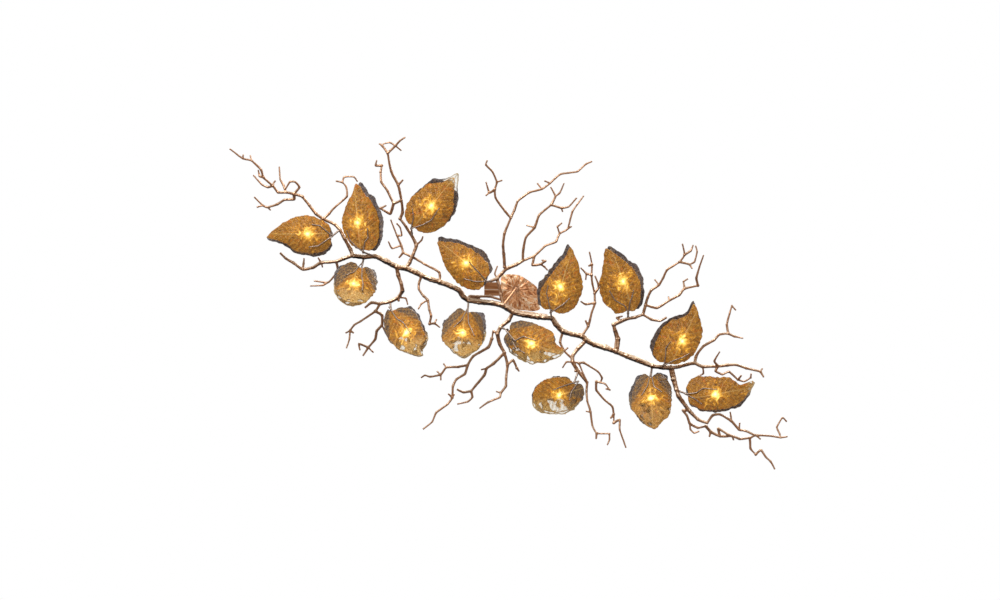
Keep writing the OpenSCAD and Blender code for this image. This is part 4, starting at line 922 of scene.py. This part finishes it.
# ---- Claws ----
STALK_D = 5.8
PRONG_D = 3.5
ARM_D = 5
BED = 0.4
ROOT_OUT = 6
REAR_REACH = 0.55
HOLDER_BACK = -33.3
ARM_INSERT = 4
PRONG_OUT = GLASS_T + PRONG_D / 2 - BED
ROOT_SWELL = 1.35
KNEE_SWELL = 1.3
END_SWELL = 1.15
STALK_TAPER = (1.1, 0.85)
PRONG_TAPER = (1.05, 0.75)
NEXT_CLAW = 40.0                    # moves the bark's pattern on for each claw
CLAW_VOXEL = 0.8
CLAW_RIDGE = 0.16
LEFT_SHADES = (0, 1, 2, 3, 8, 9, 10)
RIGHT_SHADES = (4, 5, 6, 7, 11, 12, 13)


def over_glass(shade, q, side):
    """The prong's middle where it is seen at q, on the outside of the glass."""
    a, b = shade.on_plane(q)
    a -= side * face_h(a, b, PRONG_OUT) * math.tan(shade.tilt)
    return shade.place(a, b, side * face_h(a, b, PRONG_OUT))


def add_claw(twigs, i):
    shade = SHADES[i]
    notch = np.array(shade.outline[0], float)
    root = shade.on_plane(notch) - (ROOT_OUT, 0)
    foot = shade.place(root[0], root[1], 0)
    bends = {side: shade.place(root[0], root[1], side * face_h(root[0], root[1], PRONG_OUT))
             for side in (FRONT, REAR)}
    carrier = np.array(nearest(shade.carrier, WOOD_ROUTES))
    twigs.tube([carrier, foot], [STALK_D / 2 * t for t in STALK_TAPER], THIN_SIDES)
    arm_end = HOLDER_BACK + ARM_INSERT
    middle = (root + (arm_end, 0)) / 2
    twigs.tube([foot, shade.place(middle[0], middle[1] / 2, 0), shade.place(arm_end, 0, 0)],
               [ARM_D / 2] * 3, THIN_SIDES)
    twigs.lump(foot, STALK_D / 2 * ROOT_SWELL, i)
    twigs.lump(bends[FRONT], PRONG_D / 2 * ROOT_SWELL, i + 0.5)
    rear_point = notch + REAR_REACH * (shade.lamp - notch)
    prongs = [(points, FRONT, k == 0) for k, points in enumerate(shade.prongs)]
    for points, side, post in prongs + [([rear_point], REAR, True)]:
        points = [np.array(q, float) for q in points]
        seen = [points[0]]
        for a, b in zip(points, points[1:]):
            seen += [(a + b) / 2, b]
        route = ([foot] if post else []) + [bends[side]] + [over_glass(shade, q, side) for q in seen]
        radii = PRONG_D / 2 * np.linspace(*PRONG_TAPER, len(route))
        twigs.tube(route, radii.tolist(), THIN_SIDES, step=2.0, offset=NEXT_CLAW * i)
        twigs.lump(route[-1], PRONG_D / 2 * END_SWELL, i + 0.2)
        if side == FRONT:
            twigs.lump(route[(len(route) + 1) // 2], PRONG_D / 2 * KNEE_SWELL, i + 0.7)


def make_claws():
    for node, shades in (("leaf_claws_left", LEFT_SHADES), ("leaf_claws_right", RIGHT_SHADES)):
        twigs = Twigs()
        for i in shades:
            add_claw(twigs, i)
        finish_piece(twigs.melt("twig_" + node[5:], CLAW_VOXEL, CLAW_RIDGE), "fixture", CLAW,
                     node)


# ---- Glass leaves ----
OUTLINE_SPLIT = 11
RINGS = 22
RIM_IN = 1.4                        # how far inside the outline the rounded rim starts
RIM_ARC = (60, 25, -25, -60)
RIM_STARTS = 0.96                   # in parts of the leaf's reach, where clear glass ends
RIM_FADE = 0.03
CRUMPLE_L = 16.0
CRUMPLE_H = 0.8
VEIN_H = 0.7
VEIN_GAP = 15.0
VEIN_SLANT = 0.75
VEIN_HALF = 1.0
RIB_HALF = 1.3
SIDE_VEIN = 0.75                    # how strong a side vein is beside the midrib
VEIN_END = 1.15                     # where the veins fade out, in parts of the leaf's reach
WEDGE = 27                          # degrees to each side of the leaf's middle
WEDGE_FADE = 4
LOBE_DOWN = 6                       # brown ends here, down from the lamp's spot in the picture
LOBE_FADE = 5
LOBE_BROWN = 0.9
PANE_DOWN = 8                       # and clear glass starts here
PANE_FADE = 26
CLEAR = (0.9, 0.75, 0.75, 0.95, 1.0, 0.3)          # how clear each round leaf is
CLEAR_TIPS = (2, 7)
EDGE_L = {FRONT: 11.0, REAR: 24.0}             # how the outline waves and moves out
EDGE_WAVE = {FRONT: 2.8, REAR: 5.0}
EDGE_OUT = {FRONT: -0.6, REAR: 1.8}
TIP_PANE_L = 26
TIP_PANE_FADE = 20
TIP_CLEAR = 0.75
NEXT_LEAF = 40.0                    # moves the glass's pattern on for each shade


def vein_at(a, b, reach):
    """How strongly a vein shows at a place: the midrib, and side veins that slant to the tip."""
    rib = np.exp(-(b / RIB_HALF) ** 2)
    wave = (a - VEIN_SLANT * np.abs(b) + 40) / VEIN_GAP + 0.5 * (b > 0)
    off = np.abs(wave - np.round(wave)) * VEIN_GAP
    side = np.exp(-(off / VEIN_HALF) ** 2) * SIDE_VEIN
    fade = np.clip(VEIN_END - reach, 0, 1) ** 0.5
    return np.maximum(rib, side) * fade


def make_leaf(name, i, side):
    """A leaf as a closed shell with a round rim. Its points fan out from the lamp's place."""
    shade = SHADES[i]
    seed = 3.1 * i + side
    edge = smooth_loop(shade.face_edge(side), OUTLINE_SPLIT)
    n = len(edge)
    out = np.array([unit(q) for q in edge])
    size = EDGE_L[side]
    wave = np.array([noise.fractal(Vector((q[0] / size, q[1] / size, seed)), 0.8, 2.0, 3)
                     for q in edge])
    edge = edge + out * (EDGE_WAVE[side] * wave + EDGE_OUT[side])[:, None]
    inner = edge - out * RIM_IN
    steps = 1 - (1 - np.linspace(0, 1, RINGS + 1)[1:]) ** 1.35
    grid = np.concatenate([[(0.0, 0.0)]] + [inner * t for t in steps])
    reach = np.concatenate([[0.0]] + [np.full(n, t) for t in steps])
    rim = np.concatenate([inner + out * RIM_IN * math.cos(math.radians(d)) for d in RIM_ARC])

    def relief(q):
        return np.array([CRUMPLE_H * noise.fractal(Vector((x / CRUMPLE_L, y / CRUMPLE_L, seed)),
                                                   1.0, 2.0, 3) for x, y in q])

    vein = vein_at(grid[:, 0], grid[:, 1], reach)
    dents = relief(grid)
    lift = np.repeat([GLASS_T / 2 * (1 + math.sin(math.radians(d))) for d in RIM_ARC], n)
    verts = np.concatenate([
        np.column_stack([grid, face_h(*grid.T, GLASS_T) + dents + VEIN_H * vein]),
        np.column_stack([rim, face_h(*rim.T, 0) + lift + relief(rim)]),
        np.column_stack([grid, face_h(*grid.T, 0) + dents])])
    verts[:, 2] *= side

    def fan(first):
        faces = [(first, first + 1 + a, first + 1 + (a + 1) % n) for a in range(n)]
        for k in range(RINGS - 1):
            faces += band(first + 1 + k * n, first + 1 + (k + 1) * n, n, False)
        return faces

    low = len(grid) + len(rim)
    last = 1 + (RINGS - 1) * n
    loops = [last] + [len(grid) + k * n for k in range(len(RIM_ARC))] + [low + last]
    outer = fan(0) + [f for p, q in zip(loops, loops[1:]) for f in band(p, q, n, False)]
    inner = fan(low)
    turned = outer if side == REAR else inner
    turned[:] = [f[::-1] for f in turned]
    obj = new_object(name, verts, outer + inner)
    mesh = obj.data
    near_rim = np.clip((reach - RIM_STARTS) / RIM_FADE, 0, 1)
    store(mesh, "vein", np.concatenate([vein, np.zeros(len(rim)), vein]))
    store(mesh, "rim", np.concatenate([near_rim, np.ones(len(rim)), near_rim]))
    paint_places(mesh, i, side, verts)
    mesh.transform(shade.matrix())
    mesh.update()
    return obj


def paint_places(mesh, i, side, verts):
    """Where the lamp's painted glow is centred, and where the glass is brown or clear. The round leaves
    are brown on their upper lobes, outside a wedge from the notch, and clear at the bottom."""
    shade = SHADES[i]
    a, b = verts[:, 0], verts[:, 1]
    spot_a = -side * face_h(0, 0, GLASS_T) * math.tan(shade.tilt)
    store(mesh, "spot", np.column_stack([a - spot_a, b, np.zeros(len(a))]))
    store(mesh, "place", np.column_stack([a, b, np.full(len(a), NEXT_LEAF * i)]))
    down = (a - spot_a) * shade.way[1] + b * shade.v[1]
    notch = shade.on_plane(shade.outline[0])
    aside = np.degrees(np.abs(np.arctan2(b - notch[1], a - notch[0])))
    if i >= FIRST_CLEAR:
        lobe = (LOBE_BROWN * np.clip((aside - WEDGE) / WEDGE_FADE, 0, 1)
                * np.clip((LOBE_DOWN - down) / LOBE_FADE, 0, 1))
        pane = np.clip((down - PANE_DOWN) / PANE_FADE, 0, 1) * CLEAR[i - FIRST_CLEAR]
    else:
        lobe = np.zeros(len(a))
        tip = shade.on_plane(shade.outline[TIP_POINT])[0]
        clear = TIP_CLEAR if i in CLEAR_TIPS else 0
        pane = np.clip((a - tip + TIP_PANE_L) / TIP_PANE_FADE, 0, 1) * clear
    store(mesh, "lobe", lobe)
    store(mesh, "pane", pane)


def make_leaves():
    for i in range(len(SHADES)):
        for side, word, glass, slot in ((FRONT, "front", FRONT_GLASS, "amber_glass"),
                                        (REAR, "rear", REAR_GLASS, "smoke_glass")):
            obj = make_leaf(f"leaf_{word}_{i + 1:02d}", i, side)
            finish_piece(obj, "fixture", glass, f"{word}_glass_{i + 1:02d}")


# ---- Canopy cover ----
COVER_H = 30
COVER_T = 3
COVER_TOP = -0.5
COVER_BEND = 150
PLEATS = 14
PLEAT_H = 2.5
PLEAT_DRIFT = 0.9
COVER_FLAT_R = 8                    # the pleats and dents start here, and are full at the next
COVER_FULL_R = 22
COVER_DENT_L = 11
COVER_DENT_H = 0.9
ROD_R = 5.2
COVER_SPLIT = 14
COVER_RINGS = 40


def make_canopy():
    """A pleated and crumpled lily leaf, as a cup with a wall up to the ceiling."""
    edge = smooth_loop(COVER_OUTLINE, COVER_SPLIT)
    n = len(edge)
    out = np.array([unit(q) for q in edge])
    hub = out * ROD_R
    turn = np.arctan2(edge[:, 1], edge[:, 0])
    steps = np.linspace(0, 1, COVER_RINGS + 1)
    rings = []
    for t in steps:
        q = hub + (edge - hub) * t
        r = np.hypot(q[:, 0], q[:, 1])
        fold = np.cos(turn * PLEATS + PLEAT_DRIFT * np.sin(turn * 3) + 0.02 * r)
        swell = np.clip((r - COVER_FLAT_R) / (COVER_FULL_R - COVER_FLAT_R), 0, 1)
        dents = np.array([noise.fractal(Vector((x / COVER_DENT_L, y / COVER_DENT_L, 5.0)),
                                        1.0, 2.0, 4) for x, y in q])
        z = (COVER_BEND - COVER_H - np.sqrt(COVER_BEND ** 2 - r * r)
             - swell * (PLEAT_H * (0.5 + 0.5 * fold) + COVER_DENT_H * dents))
        rings.append(np.column_stack([q, np.maximum(z, -COVER_H - PLEAT_H)]))
    foot = rings[-1]
    wall = [np.column_stack([foot[:, :2], foot[:, 2] + (COVER_TOP - foot[:, 2]) * t])
            for t in (0.15, 0.5, 1.0)]
    inside = foot[:, :2] - out * COVER_T
    wall.append(np.column_stack([inside, np.full(n, COVER_TOP)]))
    back = [np.column_stack([hub + (inside - hub) * t,
                             np.interp(t, steps, [r[:, 2].max() for r in rings]) * np.ones(n)
                             + COVER_T]) for t in steps[::-4]]
    loops = rings + wall + back
    verts = np.concatenate(loops)
    faces = [f for k in range(len(loops)) for f in band(k * n, (k + 1) % len(loops) * n, n)]
    finish_piece(new_object("canopy_leaf", verts, faces), "cover", COPPER,
                 "canopy_cover")


# ---- CAD nodes that stay ----


def dress(node, material, bevel=0.0):
    """A CAD node's own finish, with its sharp edges eased."""
    obj = NODES[node]
    if not obj.material_slots:
        obj.data.materials.append(material)
    for slot in obj.material_slots:
        slot.material = material
    if bevel:
        eased = obj.modifiers.new("eased", "BEVEL")
        eased.width = bevel * MM
        eased.segments = 2
        eased.limit_method = "ANGLE"
        eased.angle_limit = math.radians(50)


def make_fittings():
    dress("hanging_rod", ROD_COPPER, 0.3)
    dress("cover_nut", ROD_COPPER, 0.3)
    dress("driver_box", BOX_COPPER, 0.5)
    dress("ceiling_bracket", STEEL, 0.3)
    dress("fixing_screws", STEEL)
    dress("lamp_holders", CERAMIC, 0.4)
    for i in range(len(SHADES)):
        dress(f"lamp_{i + 1:02d}", LAMP)


# ---- Room, lights and camera ----
FLOOR_Z = -13000
FLOOR_HALF = 60000
CAMERA_AT = (-0.0432, 0.0297, -12.08)
LENS = 160
WORLD_LEVEL = 0.55
# Name, place, size and power: they look at the middle of the crown.
LIGHTS = [
    ("key", (-0.9, -2.6, -2.2), 1.2, 95), ("fill", (1.8, 1.6, -2.6), 2.0, 18),
    ("top", (0.8, -1.2, 2.6), 2.0, 55)]
LIGHTS_LOOK_AT = (0, 0, -0.1)


def make_room():
    s = FLOOR_HALF
    floor = new_object("floor", [(x, y, FLOOR_Z) for x, y in ((-s, -s), (s, -s), (s, s), (-s, s))],
                       [(0, 1, 2, 3)])
    paint = Shader("floor_paint", Roughness=0.8)
    cloud = paint.noise(paint.here(), 0.4)
    paint.set("Base Color", paint.ramp(cloud, (0.3, srgb(236, 236, 234)), (0.7, srgb(242, 242, 240))))
    floor.data.materials.append(paint.material)

    world = bpy.data.worlds.new("studio")
    bpy.context.scene.world = world
    world.use_nodes = True
    air = Nodes(world.node_tree)
    ray = air.node("LightPath").outputs
    seen = air.math("MAXIMUM", ray["Is Camera Ray"], ray["Is Transmission Ray"])
    seen = air.math("MAXIMUM", seen, ray["Is Glossy Ray"])
    level = air.node("MapRange", Value=seen, To_Min=WORLD_LEVEL, To_Max=1.0).outputs[0]
    background = world.node_tree.nodes["Background"]
    air.put(background.inputs["Strength"], level)
    background.inputs["Color"].default_value = (1, 1, 1, 1)


def make_lights():
    for name, place, size, power in LIGHTS:
        data = bpy.data.lights.new(name, "AREA")
        data.size = size
        data.energy = power
        light = bpy.data.objects.new(name, data)
        bpy.context.scene.collection.objects.link(light)
        light.location = place
        way = Vector(LIGHTS_LOOK_AT) - Vector(place)
        light.rotation_euler = way.to_track_quat("-Z", "Y").to_euler()


def make_camera():
    data = bpy.data.cameras.new("camera")
    data.lens = LENS
    data.sensor_width = 36
    data.clip_end = 100
    camera = bpy.data.objects.new("camera", data)
    bpy.context.scene.collection.objects.link(camera)
    camera.location = CAMERA_AT
    camera.rotation_euler = (math.pi, 0, 0)
    bpy.context.scene.camera = camera


make_camera()
make_lights()
make_room()
make_wood()
make_claws()
make_leaves()
make_canopy()
make_fittings()

bpy.context.scene.view_settings.view_transform = "Standard"
